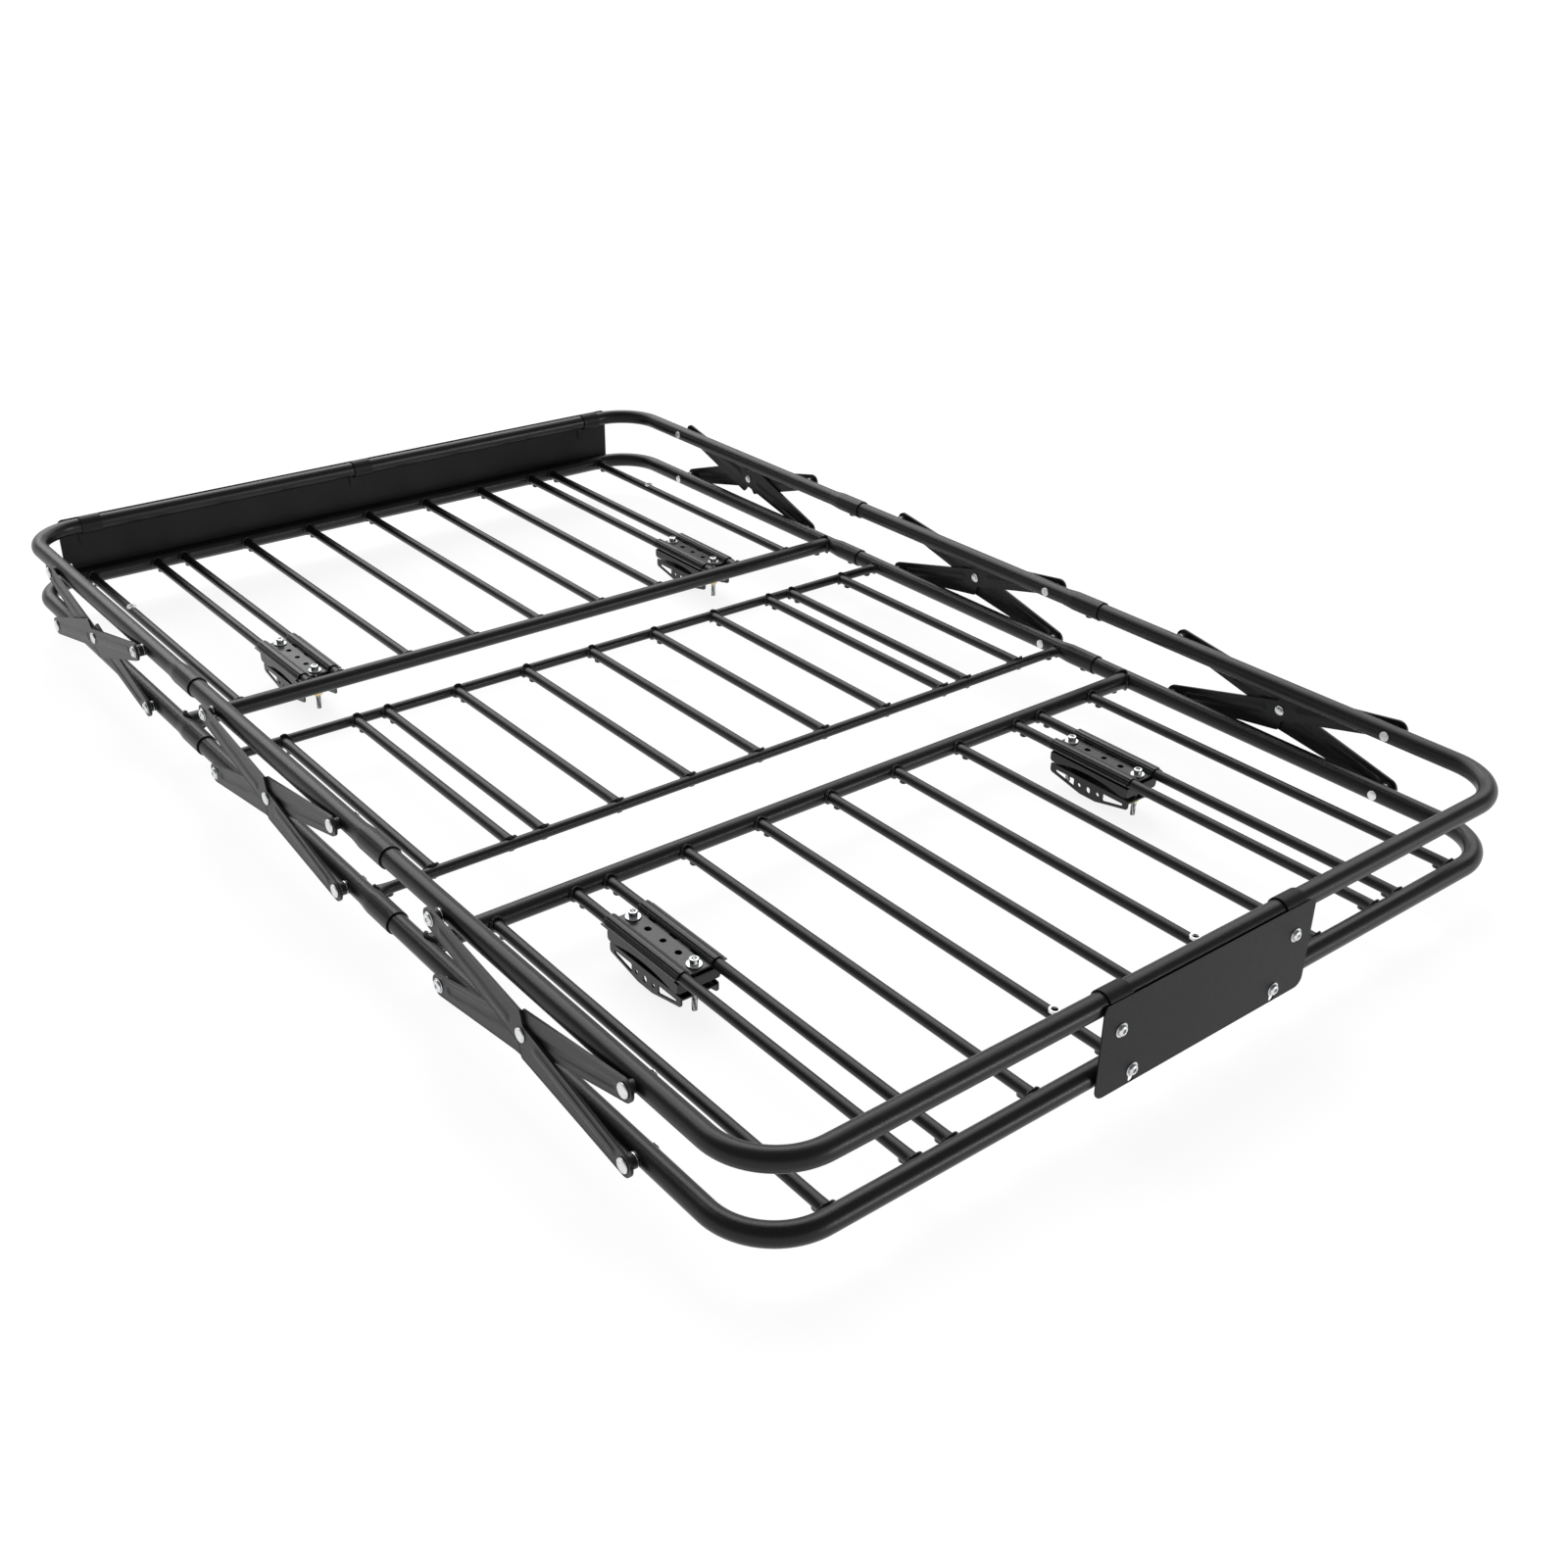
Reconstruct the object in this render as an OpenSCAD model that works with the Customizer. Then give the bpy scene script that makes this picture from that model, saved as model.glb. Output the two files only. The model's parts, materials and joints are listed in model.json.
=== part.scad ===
// Roof cargo basket: a slatted steel floor and an upper guard rail, each made of three
// plug-together sections, joined by six scissor braces and held to the vehicle's bars by
// four two-jaw clamps. Origin at the centre of the footprint, on the plane of the clamp
// bolt ends. +X right, +Y towards the fairing, +Z up. Millimetres.

/* [Rails] */
// Overall length of the rails, front to rear
rail_length = 1626; // [1500:1:1750]
// Overall width of the rails
rail_width = 1001; // [990:1:1012]
// Outside diameter of the rail tube
rail_od = 21; // [20.6:0.1:21.2]
// Wall of the rail tube
rail_wall = 1.5; // [1.2:0.1:2]
// Bend radius of the rail corners, to the tube axis
bend_radius = 65; // [55:1:72]
// Height of the guard rail above the floor rail, axis to axis
ring_rise = 73; // [68:1:80]
// Distance of the front plug joint's mouth in front of the middle
front_joint_y = 218; // [214:1:224]
// Distance of the rear plug joint's mouth behind the middle
rear_joint_y = 240; // [234:1:246]

/* [Floor] */
// Outside diameter of the two stout crossbars
crossbar_od = 20; // [18:0.5:20.5]
// Distance of the stout crossbars from the middle
crossbar_y = 290; // [288:1:294]
// Outside diameter of the slats and of the two thin crossbars
slat_od = 12; // [11:0.1:12]
// Distance of the thin crossbars from the middle
thin_bar_y = 178; // [170:1:190]
// Spacing of the five middle slats
slat_pitch = 96.25; // [90:0.25:97]
// Middle of each close pair of slats, from the centre line
pair_x = 306.25; // [304:0.25:310]
// Spacing of the two slats of a pair
pair_gap = 39.5; // [39:0.5:40]
// Outermost slat, from the centre line
outer_slat_x = 416; // [410:1:418]

/* [Braces] */
// Distance of the end braces' crossings from the middle
brace_y = 505; // [500:1:508]
// Distance along the rail from a brace's crossing to its pivots
brace_reach = 151; // [145:1:154]
// Thickness of a brace leg
leg_t = 2.5; // [2:0.1:2.6]
// Width of a brace leg at its ends
leg_w = 22; // [18:1:22]

/* [Clamps] */
// Distance of the front clamps in front of the middle
front_clamp_y = 378; // [378:1:390]
// Distance of the rear clamps behind the middle
rear_clamp_y = 419; // [400:1:430]
// Length of a clamp's saddle along the slats
saddle_length = 120; // [116:1:120]
// Diameter of the clamp bolts
bolt_d = 6; // [6:0.1:6.1]
// Bolt end below the slat axis
bolt_drop = 50; // [50:1:60]

/* [Panels] */
// Width of the fairing
fairing_w = 890; // [880:1:900]
// Width of the rear plate
plate_w = 283; // [270:1:300]
// Thickness of the panels and of their strap clips
sheet = 1.5; // [1.2:0.1:1.6]

/* [Hidden] */

$fn = 48;
black = "#1b1c1e";
zinc = "#c9ccd0";
yellow_zinc = "#c2a24e";

fit = 0.05;            // gap left at a weld or a seat within one body
run = 0.3;             // gap between faces that move past each other
far = 2000;            // longer than anything here
cut = 1;               // how far a cutting tool runs past a face

rail_r = rail_od / 2;
half_w = rail_width / 2 - rail_r;      // rail axis, from the centre line
half_l = rail_length / 2 - rail_r;
floor_z = bolt_drop;                   // height of the slat and floor rail axes
top_z = floor_z + ring_rise;
bend_x = half_w - bend_radius;         // where the straight end rail meets its bend
bend_y = half_l - bend_radius;

collar_wall = 1.5;
collar_r = rail_r + 0.25 + collar_wall;
collar_bore = rail_r + 0.25;
collar_straight = 42;
collar_length = 60;
plug_depth = 38;
screw_inset = 20;                      // joint screw, from the mouth

slat_r = slat_od / 2;
slat_wall = 1;
crossbar_r = crossbar_od / 2;
slat_xs = [
    -outer_slat_x, -pair_x - pair_gap / 2, -pair_x + pair_gap / 2, -2 * slat_pitch, -slat_pitch,
    0, slat_pitch, 2 * slat_pitch, pair_x - pair_gap / 2, pair_x + pair_gap / 2, outer_slat_x
];
plug_inset = 12;                       // drain plug, from the end of its tube
plug_r = 4.5;
plug_drop = 3;                         // how far a plug hangs below its tube
front_nut_y = 648;                     // accessory nuts in the outermost front slats
rear_nut_y = -725;                     // accessory nuts in two middle rear slats
nut_bore_r = bolt_d / 2;
nut_body_r = 4.4;

leg_length = sqrt(pow(2 * brace_reach, 2) + pow(ring_rise, 2));
leg_angle = asin(ring_rise / leg_length);
inner_leg_x = half_w + rail_r + 5;     // inboard face of the inner legs
outer_leg_x = inner_leg_x + leg_t + 0.5;
shoulder = 24;                         // edge of a leg's widened arm at its crossing
rib_h = 1;
rib_w = 7;
rib_gap = 44;                          // part of half a leg's length that has no rib
rib_shift = 4;                         // ribs stand this much nearer the ends
rivet_r = 3;
hinge_gap = 0.05;                      // running clearance round a rivet
boss_r = 6;
wide_boss_r = 7;
head_r = 7;
head_h = 2;
pivot_ys = [brace_y + brace_reach, -brace_reach, -brace_y - brace_reach];
screw_ys = [brace_y - brace_reach, brace_reach, -brace_y + brace_reach];

clip_r = rail_r + 0.4;                 // inside radius of a strap clip
clip_w = 28;
clip_tail = 32;                        // strap end, below the rail axis
panel_in = half_l + clip_r + sheet + fit;   // inner face of the panels, from the middle
panel_out = panel_in + sheet;
panel_bottom = floor_z - 17;
fairing_top = top_z + rail_r - 2;
fairing_corner = 8;
bead_drops = [12, 20];                 // lower edges of the two beads, below the top edge
bead_h = 3;
bead_out = 1;
bead_inset = 12;
plate_top = floor_z + 79;
plate_corner = 10;
plate_top_corner = 6;
slot_travel = 10;                      // length of the rear plate's slots, less a hole
clip_bolt_z = top_z - 25;
low_bolt_z = floor_z - 3;
plate_clip_x = plate_w / 2 - 24;
plate_low_x = slat_pitch;
fairing_clip_xs = [-405, 0, 405];
fairing_low_x = outer_slat_x - 6;

saddle_in = slat_r + run;
saddle_t = 1.5;
saddle_out = saddle_in + saddle_t;
hole_r = bolt_d / 2 + run;
hole_step = 25;
clamp_bolt_y = 2 * hole_step;
notch_x = 11.5;                        // notches along both edges of a saddle's strip
notch_ys = [-34, 0, 34];
notch_l = 12;
notch_w = 2.4;
washer_r = 8;
washer_t = 1.6;
clamp_head_r = 5;
clamp_head_h = 6;
clamp_socket = 5;
nut_h = 5;
nut_flats = 10;
jaw_t = 2;
upper_jaw_w = 50;
upper_jaw_l = saddle_length - 4;
upper_jaw_end = 18;                    // depth of the end tabs below the slat axis
upper_jaw_arch = 12;                   // depth at the top of the arch
lower_jaw_w = 44;
lower_jaw_top = 22;
lower_jaw_web = 24;                    // top of the web, below the slat axis
hex_corner = 2 / sqrt(3);              // across corners over across flats

// ---------- shared shapes ----------

// A round hollow section.
module ring2d(outer, inner) {
    difference() {
        circle(r = outer);
        circle(r = inner);
    }
}

// A tube along +Y from the origin.
module tube_y(length, outer, wall) {
    rotate([-90, 0, 0]) linear_extrude(length) ring2d(outer, outer - wall);
}

// A tube along X, centred on the origin.
module tube_x(length, outer, wall) {
    rotate([0, 90, 0]) linear_extrude(length, center = true) ring2d(outer, outer - wall);
}

// A solid rod along X between two places.
module rod_x(x0, x1, r) {
    translate([x0, 0, 0]) rotate([0, 90, 0]) cylinder(h = x1 - x0, r = r);
}

// A solid rod along +Y.
module rod_y(length, r) {
    rotate([-90, 0, 0]) cylinder(h = length, r = r);
}

// Draws its children on both sides of the centre line.
module both_sides() {
    children();
    mirror([1, 0, 0]) children();
}

// A round bar with round ends, seen from above, along X.
module slot2d(length, width) {
    square([length - width, width], center = true);
    for (end = [-1, 1]) translate([end * (length - width) / 2, 0]) circle(d = width);
}

// ---------- rails ----------

// The expanded end of a rail that takes the next section's plug, mouth at the origin
// and the tube beyond it towards +Y.
module collar() {
    rotate([-90, 0, 0]) rotate_extrude() polygon([
        [collar_bore, 0], [collar_r, 0], [collar_r, collar_straight],
        [rail_r, collar_length], [rail_r - rail_wall, collar_length],
        [rail_r - rail_wall, collar_straight + 6], [collar_bore, collar_straight]
    ]);
}

// One bent end of a rail, open towards -Y: its sides start at side_y.
module rail_end(side_y) {
    both_sides() {
        translate([half_w, side_y, 0]) tube_y(bend_y - side_y, rail_r, rail_wall);
        translate([bend_x, bend_y, 0]) rotate_extrude(angle = 90)
            translate([bend_radius, 0]) ring2d(rail_r, rail_r - rail_wall);
    }
    translate([0, half_l, 0]) tube_x(2 * bend_x, rail_r, rail_wall);
}

// Holes across both side rails for the brace rivets.
module rivet_holes(ys) {
    both_sides() for (y = ys) translate([0, y, 0])
        rod_x(half_w - rail_od, half_w + rail_od, rivet_r + run);
}

// Hole up through the underside of both side rails for a joint screw.
module joint_screw_hole(y) {
    both_sides() translate([half_w, y, -collar_r - cut])
        cylinder(h = collar_r + cut, r = rivet_r + run);
}

// Holes in the outer wall of an end rail for the panel rivet nuts, which face +Y.
module panel_nut_holes(x) {
    both_sides() translate([x, half_l, 0]) rod_y(rail_od, nut_body_r + fit);
}

module front_rail(z) {
    translate([0, 0, z]) difference() {
        union() {
            rail_end(front_joint_y + collar_length);
            both_sides() translate([half_w, front_joint_y, 0]) collar();
        }
        rivet_holes([pivot_ys[0]]);
        joint_screw_hole(front_joint_y + screw_inset);
        children();
    }
}

module mid_rails(z) {
    translate([0, 0, z]) difference() {
        both_sides() translate([half_w, -rear_joint_y, 0]) {
            collar();
            translate([0, collar_length, 0])
                tube_y(rear_joint_y - collar_length + front_joint_y + plug_depth, rail_r, rail_wall);
        }
        rivet_holes([pivot_ys[1]]);
        joint_screw_hole(front_joint_y + screw_inset);
        joint_screw_hole(-rear_joint_y + screw_inset);
    }
}

module rear_rail(z) {
    translate([0, 0, z]) difference() {
        mirror([0, 1, 0]) difference() {
            rail_end(rear_joint_y - plug_depth);
            children();
        }
        rivet_holes([pivot_ys[2]]);
        joint_screw_hole(-rear_joint_y + screw_inset);
    }
}

module front_floor_rail() {
    color(black) front_rail(floor_z) panel_nut_holes(fairing_low_x);
}

module mid_floor_rails() {
    color(black) mid_rails(floor_z);
}

module rear_floor_rail() {
    color(black) rear_rail(floor_z) panel_nut_holes(plate_low_x);
}

module front_top_rail() {
    color(black) front_rail(top_z);
}

module mid_top_rails() {
    color(black) mid_rails(top_z);
}

module rear_top_rail() {
    color(black) rear_rail(top_z);
}

// Low button screws up through the underside of the plug joints.
module joint_screws(z) {
    shank = collar_wall + rail_wall + 4;
    both_sides() for (y = [front_joint_y, -rear_joint_y]) translate([half_w, y + screw_inset, z]) {
        translate([0, 0, -collar_r - fit - 2]) cylinder(h = 2, r = 5);
        translate([0, 0, -collar_r - fit - cut]) cylinder(h = shank, r = rivet_r);
    }
}

module floor_joint_screws() {
    color(black) joint_screws(floor_z);
}

module top_joint_screws() {
    color(black) joint_screws(top_z);
}

// ---------- floor ----------

// A crossbar between the side rails, its ends coped to them.
module crossbar(y, r, wall) {
    difference() {
        translate([0, y, floor_z]) tube_x(2 * half_w, r, wall);
        both_sides() translate([half_w, -far / 2, floor_z]) rod_y(far, rail_r + fit);
    }
}

module front_crossbar() {
    color(black) crossbar(crossbar_y, crossbar_r, rail_wall);
}

module rear_crossbar() {
    color(black) crossbar(-crossbar_y, crossbar_r, rail_wall);
}

module thin_crossbars() {
    color(black) for (side = [-1, 1]) crossbar(side * thin_bar_y, slat_r, slat_wall);
}

// One row of slats between two cross tubes, their ends coped to those tubes.
module slats(y0, r0, y1, r1) {
    difference() {
        for (x = slat_xs) translate([x, y0, floor_z]) tube_y(y1 - y0, slat_r, slat_wall);
        translate([0, y0, floor_z]) rod_x(-half_w, half_w, r0 + fit);
        translate([0, y1, floor_z]) rod_x(-half_w, half_w, r1 + fit);
        children();
    }
}

// Holes down through two slats for the accessory nuts.
module nut_holes(x, y) {
    both_sides() translate([x, y, floor_z - slat_r - cut]) {
        cylinder(h = slat_od + 2 * cut, r = nut_bore_r + run);
        translate([0, 0, slat_r + cut]) cylinder(h = slat_r + cut, r = nut_body_r + fit);
    }
}

module front_slats() {
    color(black) slats(crossbar_y, crossbar_r, half_l, rail_r)
        nut_holes(outer_slat_x, front_nut_y);
}

module mid_slats() {
    color(black) slats(-thin_bar_y, slat_r, thin_bar_y, slat_r);
}

module rear_slats() {
    color(black) slats(-half_l, rail_r, -crossbar_y, crossbar_r)
        nut_holes(slat_pitch, rear_nut_y);
}

// A flanged threaded insert, flange uppermost at the origin.
module rivet_nut(depth) {
    difference() {
        union() {
            translate([0, 0, -depth]) cylinder(h = depth, r = nut_body_r);
            cylinder(h = 1, r = 6);
        }
        translate([0, 0, -depth - cut]) cylinder(h = depth + 2 * cut + 1, r = nut_bore_r);
    }
}

module slat_rivet_nuts() {
    color(zinc) both_sides() {
        translate([outer_slat_x, front_nut_y, floor_z + slat_r]) rivet_nut(slat_r);
        translate([slat_pitch, rear_nut_y, floor_z + slat_r]) rivet_nut(slat_r);
    }
}

// A domed plug under a slat or a crossbar.
module drain_plug(x, y, tube_r) {
    translate([x, y, floor_z - tube_r - plug_drop]) cylinder(h = plug_drop + plug_r, r = plug_r);
}

module drain_plugs() {
    rail_in = half_l - rail_r - plug_inset;
    bar_in = crossbar_y + crossbar_r + plug_inset;
    mid_in = thin_bar_y - slat_r - plug_inset;
    bar_x = half_w - rail_r - plug_inset;
    color(black) difference() {
        union() {
            for (x = slat_xs, y = [rail_in, bar_in, mid_in, -mid_in, -bar_in, -rail_in])
                drain_plug(x, y, slat_r);
            both_sides() for (side = [-1, 1]) {
                drain_plug(bar_x, side * crossbar_y, crossbar_r);
                drain_plug(bar_x, side * thin_bar_y, slat_r);
            }
        }
        for (x = slat_xs) translate([x, -far / 2, floor_z]) rod_y(far, slat_r + fit);
        for (side = [-1, 1]) {
            translate([0, side * crossbar_y, floor_z]) rod_x(-half_w, half_w, crossbar_r + fit);
            translate([0, side * thin_bar_y, floor_z]) rod_x(-half_w, half_w, slat_r + fit);
        }
    }
}

// Threaded inserts inside the floor rail's end tubes for the panels' lower bolts.
module panel_rivet_nuts() {
    color(zinc) {
        both_sides() translate([fairing_low_x, half_l + rail_r - 0.3, floor_z])
            rotate([-90, 0, 0]) panel_insert();
        mirror([0, 1, 0]) both_sides() translate([plate_low_x, half_l + rail_r - 0.3, floor_z])
            rotate([-90, 0, 0]) panel_insert();
    }
}

module panel_insert() {
    translate([0, 0, -10]) linear_extrude(10) ring2d(nut_body_r, nut_bore_r);
}

// ---------- braces ----------

// Spacers on the outside of one pair of rails: short ones behind the inner legs, long
// ones behind the outer legs. Those at the rivets are bored right through.
module bosses(z, pivot_x, pivot_r, screw_x, screw_r) {
    translate([0, 0, z]) both_sides() difference() {
        union() {
            for (y = pivot_ys) translate([0, y, 0]) rod_x(half_w, pivot_x - run, pivot_r);
            for (y = screw_ys) translate([0, y, 0]) rod_x(half_w, screw_x - run, screw_r);
        }
        translate([half_w, -far / 2, 0]) rod_y(far, rail_r + fit);
        for (y = concat(pivot_ys, screw_ys)) translate([0, y, 0])
            rod_x(half_w, outer_leg_x + cut, rivet_r + run);
    }
}

module floor_bosses() {
    color(black) bosses(floor_z, outer_leg_x, wide_boss_r, inner_leg_x, boss_r);
}

module top_bosses() {
    color(black) bosses(top_z, inner_leg_x, boss_r, outer_leg_x, wide_boss_r);
}

// Rivets through the rail, the spacer and the leg, which turns on the shank.
module rivets(z, leg_x) {
    inner_face = half_w - rail_r - 0.6;
    outer_face = leg_x + leg_t + run;
    both_sides() for (y = pivot_ys) translate([0, y, z]) {
        rod_x(inner_face - 1, inner_face, rivet_r + 2.5);
        rod_x(inner_face - 1, outer_face + head_h, rivet_r);
        rod_x(outer_face, outer_face + head_h, head_r);
    }
}

module floor_rivets() {
    color(zinc) rivets(floor_z, outer_leg_x);
}

module top_rivets() {
    color(zinc) rivets(top_z, inner_leg_x);
}

// Outline of a brace leg, pivot at the origin and the far hole along +X. Each arm widens
// towards the crossing along one edge and ends there in a shoulder: the arm at the pivot
// widens towards +Y if lean is 1 and towards -Y if it is -1, the other arm the other way.
module leg2d(centre_hole, lean) {
    mid = leg_length / 2;
    half = leg_w / 2;
    upper = [
        [0, half], [mid - 7, shoulder], [mid - 3, shoulder - 1.5], [mid + 3, half + 1],
        [leg_length, half]
    ];
    difference() {
        union() {
            circle(d = leg_w);
            translate([leg_length, 0]) circle(d = leg_w);
            scale([1, lean]) polygon(concat(upper, [for (point = upper) [leg_length - point.x, -point.y]]));
        }
        circle(r = rivet_r + hinge_gap);
        translate([mid, 0]) circle(r = centre_hole);
    }
}

// Long pressed ribs on either side of a leg's crossing.
module leg_ribs2d() {
    for (at = [leg_length / 4 - rib_shift, 3 * leg_length / 4 + rib_shift])
        translate([at, 0]) slot2d(leg_length / 2 - rib_gap, rib_w);
}

// A pair of legs, left and right. rib_side is 1 for ribs on the outboard face. The arms of
// a rib-out leg lean the other way from those of a rib-in leg.
module legs(y, z, angle, face_x, centre_hole, rib_side) {
    rib_x = rib_side > 0 ? face_x + leg_t : face_x - rib_h;
    both_sides() {
        leg_frame(face_x, y, z, angle) linear_extrude(leg_t) leg2d(centre_hole, -rib_side);
        leg_frame(rib_x, y, z, angle) linear_extrude(rib_h) leg_ribs2d();
    }
}

// Puts a leg's outline in place: its length in the YZ plane, its thickness along +X.
module leg_frame(x, y, z, angle) {
    translate([x, y, z]) rotate([angle, 0, 0]) rotate([90, 0, 90]) children();
}

module outer_legs(y, angle) {
    color(black) legs(y, floor_z, angle, outer_leg_x, rivet_r + hinge_gap, 1);
}

module inner_legs(y, angle) {
    color(black) legs(y, top_z, angle, inner_leg_x, rivet_r + 0.8, -1);
}

// Button-head socket bolt, seat at the origin and head towards +Z, with no shank below.
module button_head(r, h, socket) {
    difference() {
        rotate_extrude() polygon([[0, 0], [r, 0], [r, h * 0.35], [r * 0.72, h], [0, h]]);
        translate([0, 0, h * 0.4]) cylinder(h = h, r = socket * hex_corner / 2, $fn = 6);
    }
}

// Bolts at the far ends of a pair of legs, with the centre rivet where there is one.
module leg_bolts(y, z, angle, face_x, with_rivet) {
    outside = face_x + leg_t;
    both_sides() {
        leg_frame(outside + fit, y, z, angle) translate([leg_length, 0, 0]) button_head(6.5, 3.6, 4);
        if (with_rivet) leg_frame(0, y, z, angle) translate([leg_length / 2, 0, 0]) {
            translate([0, 0, inner_leg_x - run - 1.5]) cylinder(h = 1.5, r = head_r - 1);
            translate([0, 0, inner_leg_x - run - 1])
                cylinder(h = outside - inner_leg_x + run + 2, r = rivet_r);
            translate([0, 0, outside + fit]) cylinder(h = head_h, r = head_r);
        }
    }
}

module outer_bolts(y, angle) {
    color(zinc) leg_bolts(y, floor_z, angle, outer_leg_x, true);
}

module inner_bolts(y, angle) {
    color(zinc) leg_bolts(y, top_z, angle, inner_leg_x, false);
}

module front_outer_legs() {
    outer_legs(pivot_ys[0], 180 - leg_angle);
}

module front_outer_bolts() {
    outer_bolts(pivot_ys[0], 180 - leg_angle);
}

module front_inner_legs() {
    inner_legs(pivot_ys[0], 180 + leg_angle);
}

module front_inner_bolts() {
    inner_bolts(pivot_ys[0], 180 + leg_angle);
}

module mid_outer_legs() {
    outer_legs(pivot_ys[1], leg_angle);
}

module mid_outer_bolts() {
    outer_bolts(pivot_ys[1], leg_angle);
}

module mid_inner_legs() {
    inner_legs(pivot_ys[1], -leg_angle);
}

module mid_inner_bolts() {
    inner_bolts(pivot_ys[1], -leg_angle);
}

module rear_outer_legs() {
    outer_legs(pivot_ys[2], leg_angle);
}

module rear_outer_bolts() {
    outer_bolts(pivot_ys[2], leg_angle);
}

module rear_inner_legs() {
    inner_legs(pivot_ys[2], -leg_angle);
}

module rear_inner_bolts() {
    inner_bolts(pivot_ys[2], -leg_angle);
}

// ---------- panels ----------

// A flat panel standing outside the +Y rails, drawn as seen from the front.
module panel() {
    translate([0, panel_out, 0]) rotate([90, 0, 0]) linear_extrude(sheet) children();
}

// Points round the quarter of a rounded corner that begins at angle start.
function corner(x, y, r, start) =
    [for (turn = [0:15:90]) [x + r * cos(start + turn), y + r * sin(start + turn)]];

// An upright rectangle, centred on x = 0, with rounded corners.
module rounded_panel2d(width, bottom, top, low_r, top_r) {
    half = width / 2;
    polygon(concat(
        corner(half - low_r, bottom + low_r, low_r, -90), corner(half - top_r, top - top_r, top_r, 0),
        corner(-half + top_r, top - top_r, top_r, 90), corner(-half + low_r, bottom + low_r, low_r, 180)
    ));
}

module fairing() {
    color(black) {
        panel() difference() {
            rounded_panel2d(fairing_w, panel_bottom, fairing_top, fairing_corner, fairing_corner);
            for (x = fairing_clip_xs) translate([x, clip_bolt_z]) circle(r = hole_r);
            for (side = [-1, 1]) translate([side * fairing_low_x, low_bolt_z]) circle(r = hole_r);
        }
        for (drop = bead_drops) translate([-fairing_w / 2 + bead_inset, panel_out, fairing_top - drop])
            cube([fairing_w - 2 * bead_inset, bead_out, bead_h]);
    }
}

module rear_plate() {
    color(black) mirror([0, 1, 0]) panel() difference() {
        rounded_panel2d(plate_w, panel_bottom, plate_top, plate_corner, plate_top_corner);
        for (side = [-1, 1]) {
            translate([side * plate_clip_x, clip_bolt_z]) circle(r = hole_r);
            translate([side * plate_low_x, low_bolt_z - slot_travel / 2]) rotate(90)
                slot2d(2 * hole_r + slot_travel, 2 * hole_r);
        }
    }
}

// A strap over the +Y top rail: round three quarters of the tube, with a tail that hangs
// down between the rail and the panel.
module strap_clip(x) {
    translate([x - clip_w / 2, half_l, top_z]) difference() {
        rotate([90, 0, 90]) linear_extrude(clip_w) {
            difference() {
                ring2d(clip_r + sheet, clip_r);
                translate([0, -2 * rail_od]) square(2 * rail_od);
            }
            translate([clip_r, -clip_tail]) square([sheet, clip_tail]);
        }
        translate([clip_w / 2, 0, clip_bolt_z - top_z]) rod_y(rail_od, nut_bore_r + hinge_gap);
    }
}

module fairing_clips() {
    color(black) for (x = fairing_clip_xs) strap_clip(x);
}

module plate_clips() {
    color(black) mirror([0, 1, 0]) for (side = [-1, 1]) strap_clip(side * plate_clip_x);
}

// A panel bolt with its washer, its shank running inwards by shank.
module panel_bolt(x, z, shank) {
    translate([x, panel_out + fit, z]) rotate([-90, 0, 0]) {
        cylinder(h = 0.8, r = 7);
        translate([0, 0, 0.8]) button_head(5.5, 3.2, 4);
        translate([0, 0, -shank - fit]) cylinder(h = shank + fit + 0.5, r = nut_bore_r);
    }
}

module panel_bolts() {
    through = 2 * sheet + fit;
    color(zinc) {
        for (x = fairing_clip_xs) panel_bolt(x, clip_bolt_z, through);
        both_sides() panel_bolt(fairing_low_x, low_bolt_z, sheet);
        mirror([0, 1, 0]) both_sides() {
            panel_bolt(plate_clip_x, clip_bolt_z, through);
            panel_bolt(plate_low_x, low_bolt_z, sheet);
        }
    }
}

// ---------- clamps ----------

// Puts a clamp at its pair of slats: its origin is between them, on their axes.
module at_clamp(side, y) {
    translate([side * pair_x, y, floor_z]) children();
}

// Extrudes a section drawn across the clamp along its length.
module along_clamp(length) {
    rotate([90, 0, 0]) linear_extrude(length, center = true) children();
}

// Saddle: two half-round channels over the slats, a flat strip with five holes between.
module saddle() {
    difference() {
        along_clamp(saddle_length) {
            for (side = [-1, 1]) translate([side * pair_gap / 2, 0]) difference() {
                ring2d(saddle_out, saddle_in);
                translate([-far / 2, -far]) square([far, far]);
            }
            translate([-pair_gap / 2 + saddle_in + 0.1, 0])
                square([pair_gap - 2 * saddle_in - 0.2, saddle_t]);
            for (side = [-1, 1]) translate([side * (pair_gap / 2 + saddle_in + 2.4), saddle_t / 2])
                square([4.6, saddle_t], center = true);
        }
        for (step = [-2:2]) translate([0, step * hole_step, -cut]) cylinder(h = 4 * cut, r = hole_r);
        for (side = [-1, 1], at = notch_ys)
            translate([side * notch_x, at, -cut]) linear_extrude(4 * cut) rotate(90) slot2d(notch_l, notch_w);
    }
}

// One side wall of a jaw: its outline is drawn along the clamp and down.
module jaw_wall(x) {
    translate([x, 0, 0]) rotate([90, 0, 90]) linear_extrude(jaw_t) children();
}

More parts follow.
